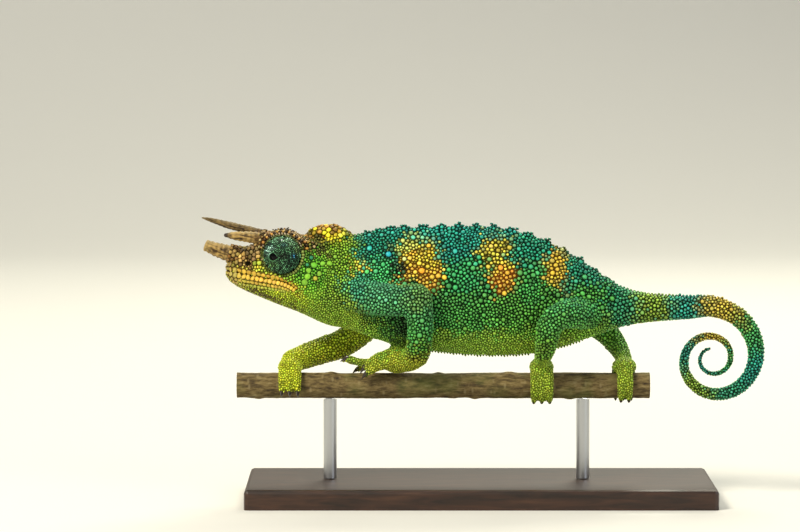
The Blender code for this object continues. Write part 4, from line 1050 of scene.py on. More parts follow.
brow_turns = np.arange(*BROW_SPAN, math.degrees(BROW_SPACING / BROW_RADIUS))
for side in (-1, 1):
    for above, offset, spacing, size, tint in LABIAL_ROWS:
        line = mouth[mouth[:, 0] > -75.8 + 0.5 * offset]
        run = np.concatenate([[0], np.cumsum(np.linalg.norm(np.diff(line, axis=0), axis=1))])
        place = 0.4 + 0.35 * (above < 0)
        while place < run[-1] - 0.4 - offset:
            taper = np.interp(place / run[-1], *zip(*LABIAL_TAPER))
            x, z = (np.interp(place, run, line[:, k]) for k in (0, 1))
            x2, z2 = (np.interp(place + 0.2, run, line[:, k]) for k in (0, 1))
            rise = np.array([-(z2 - z), x2 - x]) / math.hypot(x2 - x, z2 - z) * above
            met, way, _ = side_hit(x + rise[0] * offset * taper, z + rise[1] * offset * taper, side)
            if met:
                own = size * taper * chance.uniform(0.94, 1.04)
                shade = LIP_FRONT_TINT if place < LIP_FRONT else tint
                set_scale(met, way, own, *SHAPES["lip"], varied(shade, 0.10), HEAD)
            place += spacing * taper
    for x, z, size, tint in CHEEK_ROUNDS:
        met, way, region = side_hit(x, z, side)
        if met:
            set_scale(met, way, size, *SHAPES["cheek"], varied(tint, 0.04), region)
    for x, z, size, tint in FLANK_ROUNDS:
        shift = (0, 0) if side < 0 else chance.uniform(-1.5, 1.5, 2)
        met, way, region = side_hit(x + shift[0], z + shift[1], side)
        if met:
            set_scale(met, way, size, *SHAPES["flank"], varied(tint, 0.04), region)
    for shift, size, tall, shades in BROW_ROWS:
        for n, degrees in enumerate(brow_turns):
            angle = math.radians(degrees)
            out_way = Vector((math.cos(angle), 0.16 * side, math.sin(angle))).normalized()
            centre = Vector((EYE_CENTRE.x, side * (7.5 - 1.5 * math.sin(angle)), EYE_CENTRE.z))
            start = centre + Vector((0, side * shift, 0)) + out_way * 14
            found = hide_tree.ray_cast(start, -out_way)
            if found[0]:
                lean = (out_way + found[1]).normalized()
                own = tall * chance.uniform(0.8, 1.15)
                tint = varied(shades[n % 2], 0.12)
                set_scale(found[0], lean, size, own, BROW_FORM, tint, HEAD)
    for n in range(RIM_ROUNDS):
        angle = 2 * math.pi * n / RIM_ROUNDS
        x = EYE_CENTRE.x + RIM_RADIUS * math.cos(angle)
        z = EYE_CENTRE.z + RIM_RADIUS * math.sin(angle)
        met, way, _ = side_hit(x, z, side)
        if met and abs(met.y) > 4.5:
            tint = "f0dab0" if math.sin(angle) > 0.35 else "7c8c3e"
            set_scale(met, way, RIM_SIZE, *SHAPES["rim"], varied(tint, 0.1), HEAD)
    for n in range(NOSTRIL_ROUNDS):
        angle = 2 * math.pi * n / NOSTRIL_ROUNDS
        x = NOSTRIL[0] + NOSTRIL_RIM[0] * math.cos(angle)
        z = NOSTRIL[1] + NOSTRIL_RIM[1] * math.sin(angle)
        met, way, _ = side_hit(x, z, side)
        if met:
            tint = varied(("6e5426", "b29c52")[n % 2], 0.1)
            set_scale(met, way, NOSTRIL_SIZE, *SHAPES["nostril"], tint, HEAD)

for ring, station in enumerate(HORN_FOOT_RINGS):
    middle = HORN_FOOT + HORN_WAY * station
    across, third = Vector((0, 1, 0)), HORN_WAY.cross(Vector((0, 1, 0)))
    for n in range(HORN_FOOT_ROUNDS):
        angle = 2 * math.pi * (n + 0.5 * ring) / HORN_FOOT_ROUNDS
        out_way = across * math.cos(angle) + third * math.sin(angle)
        tint = ("8a6a34", "9c8044", "6b4a1e")[int(chance.integers(3))]
        place = middle + out_way * (HORN_FOOT_RADIUS - 0.1 * station)
        size = 1.28 - 0.12 * ring
        set_scale(place, out_way, size, *SHAPES["horn foot"], varied(tint, 0.12), HEAD)

for x in np.arange(*BACK_ROW):
    met = hide_tree.ray_cast(Vector((x, 0.0, 120)), Vector((0, 0, -1)))[0]
    if met:
        lean = Vector((0.2, 0.0, 1.0)).normalized()
        tall = 0.38 * chance.uniform(0.85, 1.2)
        tint = pigment_at(met, TORSO) * chance.normal(0.9, 0.15)
        set_scale(met, lean, 1.12, tall, BACK_FORM, tint, TORSO if x > -34 else NECK)
for x in np.arange(*BELLY_ROW):
    met = hide_tree.ray_cast(Vector((x, 0, 20)), Vector((0, 0, 1)))[0]
    if met and met.z < 56:
        lean = Vector((0.25, 0, -1)).normalized()
        tall = 0.7 * chance.uniform(0.8, 1.1)
        set_scale(met, lean, 0.85, tall, BELLY_FORM, pigment_at(met, TORSO) * 0.6, TORSO)
for turn in np.arange(0.0, COIL_TURNS, COIL_STEP):
    angle = math.pi / 2 - 2 * math.pi * turn
    out_way = Vector((math.cos(angle), 0, math.sin(angle)))
    centre = Vector((TAIL_MIDDLE[0], 0.6 + 1.6 * turn, TAIL_MIDDLE[1]))
    centre = centre + out_way * (TAIL_REACH * TAIL_SHRINK**-turn)
    met = hide_tree.ray_cast(centre + out_way * 4.2, -out_way)[0]
    if met:
        fade = 1 - 0.7 * turn
        tint = pigment_at(met, TAIL) * 1.05
        set_scale(met, out_way, 0.95 * fade, 0.5 * fade, TAIL_FORM, tint, TAIL)
for x in np.arange(*TAIL_ROW):
    met = hide_tree.ray_cast(Vector((x, 0, 90)), Vector((0, 0, -1)))[0]
    if met:
        lean = Vector((0.3, 0, 1)).normalized()
        set_scale(met, lean, 1.0, 0.6, TAIL_FORM, pigment_at(met, TAIL) * 1.05, TAIL)

# Scales over the whole hide.
# Rounded granules of keratin that nearly touch, a millimetre across on the flank and finer on the
# throat, belly and hands. A few are larger, and grains half their size fill the places between.
TURRET_RADII = Vector((5.9, 4.4, 5.9))
CANDIDATES = 420_000
GRAIN_SHARE = 0.56  # how large the grains are beside the scales about them
LARGE_CHANCE, LARGE_SHARE = 0.0018, 1.4
PERCH_CLEAR = PERCH_RADIUS + 0.42
LIP_CLEAR, NOSTRIL_CLEAR, HORN_CLEAR = 0.34, 1.2, 0.35
SCALE_HEIGHT = 0.40  # as a share of the width
SCALE_GAP = 0.085  # bare hide at each scale's edge, as a share of the width
MOTTLES_PER_MM, PITS_PER_MM = 2.6, 9.0


def wanted_size(places, ways, regions):
    """How far apart the scales sit at each place, in millimetres."""
    x, y, z = places.T
    size = np.full(len(places), 0.80)
    head, neck, torso, tail = (regions == n for n in (HEAD, NECK, TORSO, TAIL))
    size[head & (z < 66)] = 0.68  # the jaw
    size[head & (z > 70.4) & (x < -64.0)] = 1.22  # the snout
    size[head & (x > -52) & (x < -44) & (z > 66) & (z < 76)] = 0.62  # between the cheek's rounds
    size[head & (ways[:, 2] < -0.45)] = 0.58  # under the head
    size[head & (x > -52.5) & (z > 79.0)] = 1.30  # the casque's crest
    size[neck] = np.interp(z[neck], (50, 58, 66, 76), (0.56, 0.62, 0.70, 0.82))
    size[torso] = np.interp(z[torso], (44, 50, 58, 66), (0.64, 0.80, 1.00, 1.10))
    size[torso] *= np.interp(x[torso], (-36, -27, -22), (0.76, 0.82, 1.0))
    size[torso] *= 1 + 0.12 * ripple(places[torso], 7.0, 21)
    pale = np.exp(-(((x + 20.5) / 4.0) ** 2) - ((z - 75.6) / 2.2) ** 2)
    size[torso] *= 1 - 0.26 * pale[torso]  # finer in the pale patch behind the shoulder
    size[tail] = np.interp(tail_turn(places[tail]), (0, 30, 90, 140), (1.0, 0.92, 0.68, 0.45))
    outer = np.clip(np.abs(y) / 10.0, 0, 1)
    limb = (regions == ARM) | (regions == LEG)
    size[limb] = 0.64 + 0.28 * outer[limb]
    size[regions >= HAND] = 0.62
    size[(regions >= HAND) & (ways[:, 2] < -0.2)] = 0.56
    return size


triangles = np.concatenate([quads[:, [0, 1, 2]], quads[:, [0, 2, 3]]])
corners = hide_points[triangles]
areas = np.linalg.norm(
    np.cross(corners[:, 1] - corners[:, 0], corners[:, 2] - corners[:, 0]), axis=1
)
picked = chance.choice(len(triangles), CANDIDATES, p=areas / areas.sum())
shares = chance.dirichlet((1, 1, 1), CANDIDATES)
places = np.einsum("ij,ijk->ik", shares, corners[picked])
ways = unit(np.einsum("ij,ijk->ik", shares, hide_out[triangles[picked]]))
regions = node_region[owner_of[triangles[picked, 0]]]
sizes = wanted_size(places, ways, regions)
# No scale stands under the perch, in an eye's socket, in the mouth or a nostril, or on a horn
stem = np.hypot(places[:, 1], places[:, 2] - PERCH_HEIGHT)
open_hide = (stem > PERCH_CLEAR) | (places[:, 0] > PERCH_ENDS[1])
for side in (-1, 1):
    from_eye = places - np.array((EYE_CENTRE.x, side * EYE_CENTRE.y, EYE_CENTRE.z))
    open_hide &= np.linalg.norm(from_eye / (np.array(TURRET_RADII) + 0.35), axis=1) > 1.0
open_hide &= mouth_distance(places) > LIP_CLEAR
open_hide &= nostril_distance(places) > NOSTRIL_CLEAR
for tip, heading, _ in claws:
    open_hide &= past_toe(places, tip, heading) < 0.1
for name in ("nose_horn", "left_brow_horn", "right_brow_horn"):
    points, faces = node_arrays(name)
    grown = points + point_normals(points, faces) * HORN_CLEAR
    horn_tree = BVHTree.FromPolygons(grown.tolist(), faces.tolist())
    for i in np.nonzero(np.linalg.norm(places - points.mean(0), axis=1) < 12)[0]:
        met, way, _, _ = horn_tree.find_nearest(places[i], 1.5)
        if met and (Vector(places[i]) - met).dot(way) < 0:
            open_hide[i] = False


def settle(order, sizes, alive, tree, largest):
    """Picks places one by one, each clear of those picked before it."""
    kept = []
    reach = 0.5 * (1 + largest)
    for i in order:
        if not alive[i]:
            continue
        kept.append(i)
        own = sizes[i]
        for _, j, far in tree.find_range(places[i], own * reach):
            if far < 0.5 * (own + sizes[j]):
                alive[j] = 0
    return kept


candidate_tree = KDTree(CANDIDATES)
for i, place in enumerate(places):
    candidate_tree.insert(place, i)
candidate_tree.balance()
alive = bytearray(open_hide.astype(np.uint8).tobytes())
grain_alive = bytearray(alive)
grain_sizes = sizes * GRAIN_SHARE
for place, size in zip(row["place"], row["size"]):
    for _, j, far in candidate_tree.find_range(place, size * 0.5 + 0.75):
        if far < 0.5 * (size + sizes[j]) * 0.97:
            alive[j] = 0
        if far < 0.5 * (size + grain_sizes[j]) * 0.97:
            grain_alive[j] = 0
jitter = chance.uniform(0.88, 1.08, CANDIDATES)
jitter[regions == TORSO] = chance.uniform(0.78, 1.12, (regions == TORSO).sum())
large = (chance.random(CANDIDATES) < LARGE_CHANCE) & (regions != HEAD)
scale_sizes = sizes * np.where(large, LARGE_SHARE, jitter)
# The large ones come first, and the rest settle row after row from the snout back and down, as
# scales lie on the animal. The grains then fill what is left.
front = (places[:, 0] - 0.5 * places[:, 2]) / 400 + chance.random(CANDIDATES) * 0.0025
order = np.argsort(np.where(large, -1.0, front))
main = settle(order, scale_sizes, alive, candidate_tree, 1.6)
for i in main:
    own = scale_sizes[i]
    for _, j, far in candidate_tree.find_range(places[i], own):
        if far < 0.5 * (own + grain_sizes[j]) * 0.98:
            grain_alive[j] = 0
grains = settle(chance.permutation(CANDIDATES), grain_sizes, grain_alive, candidate_tree, 1.2)

chosen = np.array(main + grains)
own_sizes = np.concatenate([scale_sizes[main], grain_sizes[grains]])
speck = chance.normal(0, 0.9, (len(chosen), 3))
tints = markings(places[chosen] + speck, regions[chosen])
tints *= np.clip(chance.normal(1.0, 0.22, (len(chosen), 1)), 0.45, 1.7)
tints *= chance.normal(1.0, 0.05, (len(chosen), 3))
soft_place = np.clip(fineness(places[chosen], regions[chosen]), 0, 1)
filling = np.arange(len(chosen)) >= len(main)
tints = np.where(filling[:, None], tints**1.2 * (0.50 + 0.30 * soft_place)[:, None], tints)
plate = (regions[chosen] == HEAD) & (own_sizes > 1.0)
tints[plate] *= np.exp(chance.normal(-0.16, 0.38, (plate.sum(), 1)))
scale_place = np.concatenate([np.array(row["place"]), places[chosen]])
scale_out = unit(np.concatenate([np.array(row["out"]), ways[chosen]]))
scale_size = np.concatenate([np.array(row["size"]), own_sizes])
scale_tall = np.concatenate([np.array(row["height"]), own_sizes * SCALE_HEIGHT])
scale_cone = np.concatenate([np.array(row["cone"]), np.where(plate, -0.4, 0.0)])
scale_tint = np.clip(np.concatenate([np.array(row["colour"]), tints]), 0, 1)
scale_region = np.concatenate([np.array(row["region"]), regions[chosen]]).astype(int)
# How far a scale may grow into the gap beside it: further on the head, neck and fine places
free = np.where(regions[chosen] < TORSO, 1.0, soft_place)
scale_room = np.concatenate([np.full(len(row["size"]), 0.60), 0.60 + 0.14 * free])


def reaches(places, ways, sizes, sides, chosen):
    """Each scale's two tangents, and how far it reaches in each of its directions."""
    near_tree = KDTree(len(places))
    for i, place in enumerate(places):
        near_tree.insert(place, i)
    near_tree.balance()
    near = np.array([[k for _, k, _ in near_tree.find_n(places[i], 10)[1:]] for i in chosen])
    own_way = ways[chosen]
    first = unit(np.cross(own_way, chance.normal(size=own_way.shape)))
    second = np.cross(own_way, first)
    beside = places[near] - places[chosen][:, None]
    u = np.einsum("ijk,ik->ij", beside, first)
    v = np.einsum("ijk,ik->ij", beside, second)
    share = sizes[chosen][:, None] / (sizes[chosen][:, None] + sizes[near])
    facing = np.einsum("ijk,ik->ij", ways[near], own_way) > 0.35
    far = np.where(facing, np.linalg.norm(beside, axis=2) * share, 9.0)
    heading = np.arctan2(v, u)
    angles = np.arange(sides) * 2 * math.pi / sides
    toward = np.cos(angles[None, :, None] - heading[:, None, :])
    limit = np.where(toward > 0.3, far[:, None, :] / np.maximum(toward, 0.3), 9.0).min(2)
    most = scale_room[chosen] + 0.25 * np.clip(-scale_cone[chosen], 0, 1)
    bare = SCALE_GAP * np.minimum(sizes[chosen], 0.95)[:, None]
    reach = np.minimum(limit, (most * sizes[chosen])[:, None]) - bare
    return first, second, angles, np.maximum(reach, 0.24 * sizes[chosen][:, None])


def scale_mesh(chosen, sides, levels):
    """Points, triangles, painted shading and flat offsets of closed scales with this many sides."""
    first, second, angles, reach = reaches(scale_place, scale_out, scale_size, sides, chosen)
    count, place, way = len(chosen), scale_place[chosen], scale_out[chosen]
    tall, cone = scale_tall[chosen], scale_cone[chosen]
    rings, flats, shades = [], [], []
    for level, wide, cone_wide, shade in levels:
        width = wide * (1 - cone) + cone_wide * cone
        flat_u = reach * np.cos(angles) * width[:, None]
        flat_v = reach * np.sin(angles) * width[:, None]
        rise = np.where(level < 0, level * scale_size[chosen], level * tall)
        rings.append(
            place[:, None]
            + first[:, None] * flat_u[..., None]
            + second[:, None] * flat_v[..., None]
            + (way * rise[:, None])[:, None]
        )
        flats.append(np.stack([flat_u, flat_v], 2))
        shades.append(np.full((count, sides), shade))
    top = (place + way * tall[:, None])[:, None]
    points = np.concatenate([*rings, top], 1)
    flats = np.concatenate([*flats, np.zeros((count, 1, 2))], 1)
    shades = np.concatenate([*shades, np.full((count, 1), CROWN_PAINTED_HIGHLIGHT)], 1)
    i = np.arange(sides)
    j = (i + 1) % sides
    faces = []
    for n in range(len(levels) - 1):
        faces += [np.stack([i, j, j + sides], 1) + n * sides]
        faces += [np.stack([i, j + sides, i + sides], 1) + n * sides]
    last = (len(levels) - 1) * sides
    faces.append(np.stack([i + last, j + last, np.full(sides, last + sides)], 1))
    faces.append(np.array([(0, k + 1, k) for k in range(1, sides - 1)]))
    faces = np.concatenate(faces)
    per = points.shape[1]
    faces = (faces[None] + (np.arange(count) * per)[:, None, None]).reshape(-1, 3)
    return points.reshape(-1, 3), faces, shades.reshape(-1), flats.reshape(-1, 2), per


# Keratin scale: hard and slightly waxy, so each has a small soft highlight on its crown
keratin, tree, shader = finish("keratin scales", "5aa04a", 0.45, Specular_IOR_Level=0.3)
pigment = add(tree, "ShaderNodeAttribute", attribute_name="pigment").outputs["Color"]
place = add(tree, "ShaderNodeTexCoord").outputs["Object"]
mottle = add(
    tree,
    "ShaderNodeTexNoise",
    {"Scale": MOTTLES_PER_MM / MM, "Detail": 2.0},
    {"Vector": place},
).outputs["Fac"]
value = add(
    tree,
    "ShaderNodeMapRange",
    {"From Min": 0.3, "From Max": 0.7, "To Min": 0.82, "To Max": 1.15},
    {"Value": mottle},
).outputs["Result"]
toned = add(tree, "ShaderNodeHueSaturation", {"Fac": 1.0}, {"Value": value, "Color": pigment})
tree.links.new(toned.outputs["Color"], shader.inputs["Base Color"])
pits = add(
    tree,
    "ShaderNodeTexNoise",
    {"Scale": PITS_PER_MM / MM, "Detail": 1.0},
    {"Vector": place},
).outputs["Fac"]
bump = add(tree, "ShaderNodeBump", {"Strength": 0.3, "Distance": 0.00003}, {"Height": pits})
tree.links.new(bump.outputs["Normal"], shader.inputs["Normal"])

# Each scale's colour is painted dark at its base, as painted shade in the gap, and brighter up to
# its crown, as a painted highlight. The grains are painted the same way.
ROUND_LEVELS = (
    # height, width as a dome, width as a cone, and the shade painted into the colour there
    (-0.22, 1.0, 1.0, 0.14),
    (0.50, 0.94, 0.72, 0.52),
    (0.92, 0.66, 0.36, 1.12),
)
GRAIN_LEVELS = ((-0.25, 1.0, 1.0, 0.2), (0.62, 0.80, 0.6, 0.90))
CROWN_PAINTED_HIGHLIGHT = 1.36
GRAIN_WIDTH = 0.50  # below this width a scale is drawn as a plain grain
MAP_REACH = 0.0028  # how far each scale's patch reaches on the map


def unwrapped(places):
    """Where places lie on the hide's unwrap: along its longest way and round it."""
    middle = places.mean(0)
    _, _, axes = np.linalg.svd(places - middle, full_matrices=False)
    run = (places - middle) @ axes[0]
    turn = np.arctan2((places - middle) @ axes[1], (places - middle) @ axes[2])
    run = (run - run.min()) / (np.ptp(run) + 1e-9)
    return np.stack([0.01 + 0.98 * run, 0.01 + 0.98 * (turn / (2 * math.pi) + 0.5)], 1)


def scale_piece(name, chosen):
    """One piece of many scales, with its colours and its map."""
    parts, start = [], 0
    flat, big = scale_cone[chosen] < 0, scale_size[chosen] > GRAIN_WIDTH
    kinds = (
        (flat, 10, ROUND_LEVELS),
        (big & ~flat, 7, ROUND_LEVELS),
        (~big & ~flat, 6, GRAIN_LEVELS),
    )
    for kind, sides, levels in kinds:
        group = chosen[kind]
        if not len(group):
            continue
        points, faces, shades, flats, per = scale_mesh(group, sides, levels)
        # The painted shade and painted highlight of each ring are multiplied into the scale's
        # colour
        colours = np.repeat(scale_tint[group], per, axis=0) * shades[:, None]
        roots = np.repeat(group, per)
        parts.append((points, faces + start, colours, flats, roots))
        start += len(points)
    points, faces, colours, flats, roots = (np.concatenate(rows) for rows in zip(*parts))
    piece = mesh_piece(name, points, faces, keratin)
    paint(piece, colours)
    number = np.zeros(len(scale_place), int)
    number[chosen] = np.arange(len(chosen))
    spot = unwrapped(scale_place[chosen])[number[roots]]
    spot = spot + flats / scale_size[roots][:, None] * MAP_REACH
    layer = piece.data.uv_layers.new(name="OFBake")
    layer.data.foreach_set("uv", spot[faces.ravel()].astype(np.float32).ravel())
    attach(piece, "root")


side_left = scale_place[:, 1] < 0
ahead = scale_place[:, 0] < 0
groups = {
    "scales_head_left": (scale_region == HEAD) & side_left,
    "scales_head_right": (scale_region == HEAD) & ~side_left,
    "scales_neck": scale_region == NECK,
    "scales_flank_left_front": (scale_region == TORSO) & side_left & ahead,
    "scales_flank_left_rear": (scale_region == TORSO) & side_left & ~ahead,
    "scales_flank_right_front": (scale_region == TORSO) & ~side_left & ahead,
    "scales_flank_right_rear": (scale_region == TORSO) & ~side_left & ~ahead,
    "scales_tail": scale_region == TAIL,
    "scales_arm_left": (scale_region == ARM) & side_left,
    "scales_arm_right": (scale_region == ARM) & ~side_left,
    "scales_leg_left": (scale_region == LEG) & side_left,
    "scales_leg_right": (scale_region == LEG) & ~side_left,
    "scales_hands": scale_region == HAND,
    "scales_feet": scale_region == FOOT,
}
for name, mask in groups.items():
    scale_piece(name, np.nonzero(mask)[0])

# Eyes.
# Each eye is a turret of fused lids, set with fine grains in rings round the ball, which shows
# black and wet in a small opening with a notch behind. A bare dark crease rings the turret's
# edge, and the grains go on behind it, down into the socket.
GAZE = Vector((-0.63, 0.86, -0.10)).normalized()
OPENING, NOTCH, NOTCH_WIDTH = math.radians(14.6), 0.46, 0.36
LID_BACK, LID_SUNK = math.radians(128), 0.22
LID_RINGS, LID_SIDES = 44, 96
LID_GRAIN, LID_EDGE_GRAIN, GRAINS_BACK = 0.60, 0.42, math.radians(122)
CREASE, CREASE_WIDTH, RING_BACK = 5.40, 0.28, 1.0
BALL_RADIUS, BALL_DEPTH = 2.1, 2.15
# Wet cornea: near black and smooth, so that it keeps one small highlight
cornea, _, _ = finish("wet cornea", "020202", 0.10, Specular_IOR_Level=0.12)
# Lid skin: thin and dry, dark in its own colour and painted almost black as painted shade where it
# shows between the grains
lid, tree, shader = finish("lid skin", "0c1a14", 0.75, Specular_IOR_Level=0.1)
pigment = add(tree, "ShaderNodeAttribute", attribute_name="pigment").outputs["Color"]
tree.links.new(pigment, shader.inputs["Base Color"])


def turret_point(centre, way, grow):
    """The point of the turret's surface in a direction from its middle, and its normal."""
    radii = np.array(TURRET_RADII) + grow
    length = 1 / np.linalg.norm(way / radii, axis=-1)
    place = np.array(centre) + way * length[..., None]
    normal = unit((place - np.array(centre)) / radii**2)
    return place, normal


def around_gaze(side, tilt, turn):
    """Unit directions at a tilt from the gaze, turned about it."""
    gaze = np.array((GAZE.x, side * GAZE.y, GAZE.z))
    first = unit(np.cross(gaze, (0.0, 0.0, 1.0)))
    second = np.cross(first, gaze)
    tilt, turn = np.asarray(tilt), np.asarray(turn)
    flat = first * np.cos(turn)[..., None] + second * np.sin(turn)[..., None]
    return gaze * np.cos(tilt)[..., None] + flat * np.sin(tilt)[..., None]


def opening_at(side, turn):
    """How far the lids stand open at a turn about the gaze, in radians."""
    notch = math.pi + 0.2 if side < 0 else -0.2
    away = (np.asarray(turn) - notch + math.pi) % (2 * math.pi) - math.pi
    return OPENING * (1 + NOTCH * np.exp(-((away / NOTCH_WIDTH) ** 2)))


def lid_tint(places, centre):
    """Green-grey with a mint crescent by the opening, arcs above painted lighter and darker as the
    shading of folds, and a dark rim.
    """
    x, z = places[:, 0] - centre[0], places[:, 2] - centre[2]
    tint = np.tile(linear("3f6a49"), (len(places), 1))
    far = np.hypot(x, z)
    rim = np.clip((far - CREASE) / 0.12, 0, 1)
    patches = (
        # X and Z from the turret's middle, reach along each, colour, most
        (0.4, 4.4, 2.6, 0.7, "86b28c", 0.75),
        (-2.0, 4.0, 1.2, 0.6, "5c8a6c", 0.7),
        (0.6, 3.1, 1.1, 0.6, "1b3040", 0.8),
        (2.7, 3.0, 0.8, 0.8, "8fc08e", 0.7),
        (4.4, 1.4, 0.6, 1.4, "7d9c58", 0.7),
        (-4.8, 1.5, 0.5, 1.3, "1a3040", 0.8),
        (-3.6, 3.0, 1.2, 0.45, "1a3040", 0.7),
        (0.2, -0.1, 1.2, 1.0, "17130f", 0.9),
        (3.5, -0.2, 0.8, 0.7, "1b5078", 0.9),
        (2.5, -1.6, 1.1, 1.2, "16322e", 0.7),
        (-2.8, -2.7, 1.4, 0.9, "5a8440", 0.7),
        (1.0, -3.3, 1.8, 0.9, "41684a", 0.6),
        (-1.0, -4.4, 2.0, 0.6, "27452c", 0.6),
        (-4.0, 1.0, 0.6, 0.9, "a8dcc4", 0.95),
        (-3.1, 2.1, 0.9, 0.5, "b0e2cc", 0.95),
    )
    for a, b, wide, high, colour, most in patches:
        share = most * np.exp(-(((x - a) / wide) ** 2) - ((z - b) / high) ** 2)[:, None]
        tint = tint * (1 - share) + linear(colour) * share
    # Painted shading of the lid's folds: bands of lighter and darker colour round the turret's
    # middle
    fold_shading = 0.42 * np.clip((x + z) / 4.0, 0, 1) * np.clip((far - 3.0) / 0.6, 0, 1)
    tint = tint * (1 + fold_shading * np.cos(2 * math.pi * far / 0.86))[:, None]
    behind = np.clip((RING_BACK + 0.1 - np.abs(places[:, 1]) + abs(centre[1])) / 0.2, 0, 1)[:, None]
    rim_tint = linear("10180e") * (1 - behind) + linear("5c6c36") * behind
    return tint * (1 - rim[:, None]) + rim_tint * rim[:, None]


def ball_rows(radius, count):
    """Radius and height rows of a ball."""
    angles = np.linspace(0.02, math.pi - 0.02, count)
    return [(radius * math.sin(a), radius * math.cos(a)) for a in angles]


for label, side in (("left", -1), ("right", 1)):
    centre = np.array((EYE_CENTRE.x, side * EYE_CENTRE.y, EYE_CENTRE.z))
    turns = np.linspace(0, 2 * math.pi, LID_SIDES, endpoint=False)
    steps = np.concatenate([[-0.14, -0.08], np.linspace(0, 1, LID_RINGS)])
    grow = np.concatenate([[-1.1, -0.30], np.full(LID_RINGS, -LID_SUNK)])
    rings = []
    for step, sunk in zip(steps, grow):
        start = opening_at(side, turns)
        tilt = start + (LID_BACK - start) * step if step >= 0 else start * (1 + step)
        ways_round = around_gaze(side, tilt, turns)
        place, _ = turret_point(centre, ways_round, sunk)
        far = np.hypot(place[:, 0] - centre[0], place[:, 2] - centre[2])
        dip = LID_SUNK * np.exp(-(((far - CREASE) / CREASE_WIDTH) ** 2))
        dip = dip + 0.05 * (1 - math.cos(step * 60))
        rings.append(place - ways_round * dip[:, None])
    lids = np.concatenate(rings)
    faces = ring_faces(len(rings), LID_SIDES)
    lid_piece = mesh_piece(f"{label}_lids", lids, faces if side < 0 else faces[:, ::-1], lid)
    # Darkened to almost black: partly the lid skin's own dark tone, partly painted shade between
    # the grains
    paint(lid_piece, lid_tint(lids, centre) * 0.07)
    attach(lid_piece, "root")
    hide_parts(f"{label}_eye_turret")

    # The grains of the lids, in rings from the opening back; the first ring is fine and pale
    grain_places, grain_ways, grain_widths, grain_shine = [], [], [], []
    tilt, ring = OPENING * 1.12, 0
    while tilt < GRAINS_BACK:
        girth = 2 * math.pi * 5.6 * math.sin(tilt)
        size = LID_EDGE_GRAIN if ring == 0 else LID_GRAIN
        number = max(8, int(girth / size))
        turn = (np.arange(number) + chance.uniform()) * 2 * math.pi / number
        tilt_each = tilt + chance.normal(0, 0.008, number) * (ring > 0)
        wider = opening_at(side, turn) - OPENING
        tilt_each = tilt_each + wider * max(0.0, 1.0 - ring / 3)
        place, normal = turret_point(centre, around_gaze(side, tilt_each, turn), -0.2)
        round_middle = np.hypot(place[:, 0] - centre[0], place[:, 2] - centre[2])
        behind = np.abs(place[:, 1]) - abs(centre[1]) < RING_BACK
        kept = (round_middle < CREASE) | behind
        own = np.full(number, size) * chance.uniform(0.80, 1.12, number)
        # Each grain's brightness differs at random, and alternate rings are painted lighter and
        # darker as shading of the lid's folds
        shine = np.exp(chance.normal(-0.08, 0.78, number)) * (1.18 if ring % 2 else 0.82)
        if ring == 0:
            shine = np.full(number, 2.2)
        grain_places.append(place[kept])
        grain_ways.append(normal[kept])
        grain_widths.append(own[kept])
        grain_shine.append(shine[kept])
        tilt += size / 5.5
        ring += 1
    # They are made as the hide's scales are, so their own tables take the place of the hide's
    scale_place, scale_out = np.concatenate(grain_places), np.concatenate(grain_ways)
    scale_size = np.concatenate(grain_widths)
    scale_tall, scale_cone = scale_size * 0.42, np.zeros(len(scale_size))
    scale_room = np.full(len(scale_size), 0.60)
    shine = np.clip(np.concatenate(grain_shine), 0.2, 3.4)[:, None]
    scale_tint = np.clip(lid_tint(scale_place, centre) * shine, 0, 0.9)
    scale_piece(f"{label}_lid_grains", np.arange(len(scale_size)))

    # The ball behind the opening
    gaze = np.array((GAZE.x, side * GAZE.y, GAZE.z))
    front, _ = turret_point(centre, gaze, -0.1)
    ball, faces = turned(ball_rows(BALL_RADIUS, 24), 36)
    turn = Vector((0, 0, 1)).rotation_difference(Vector(gaze)).to_matrix()
    ball = ball @ np.array(turn).T + (front - gaze * BALL_DEPTH)
    eye = mesh_piece(f"{label}_cornea", ball, faces[:, ::-1], cornea)
    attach(eye, "root")
    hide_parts(f"{label}_eyeball")

# Horns.
# Three sheaths of keratin over bone, ringed by growth and streaked lengthwise. The one on the
# nose is worn blunt, the left one is short with a dark tip, and the right one is whole.
NOSE_HORN = (
    # X, Y and Z along the horn, and its radius
    (-73.5, 0.0, 73.5, 2.80),
    (-76.5, 0.0, 74.4, 2.50),
    (-79.6, 0.0, 75.4, 2.12),
    (-82.2, 0.0, 76.4, 1.78),
)
LEFT_HORN = (
    (-67.0, -4.6, 78.9, 1.80),
    (-70.0, -5.1, 79.3, 1.64),
    (-73.0, -5.4, 79.6, 1.40),
    (-76.0, -5.5, 79.8, 0.60),
)
RIGHT_HORN = (
    (-66.5, 4.6, 79.7, 1.55),
    (-70.5, 5.3, 80.9, 1.32),
    (-74.4, 5.8, 81.8, 1.18),
    (-78.0, 6.2, 82.8, 0.98),
    (-81.4, 6.4, 83.8, 0.62),
    (-83.6, 6.5, 84.3, 0.20),
)
HORN_RINGS, HORN_SIDES = 90, 44
HORN_CAPS = (0.0, 0.4, 0.7, 0.88, 0.97, 0.9999)  # the last rings, which close the tip
HORN_ROOT = 2.4  # how far a sheath runs back into the scales
FIBRES_PER_MM = 4.2
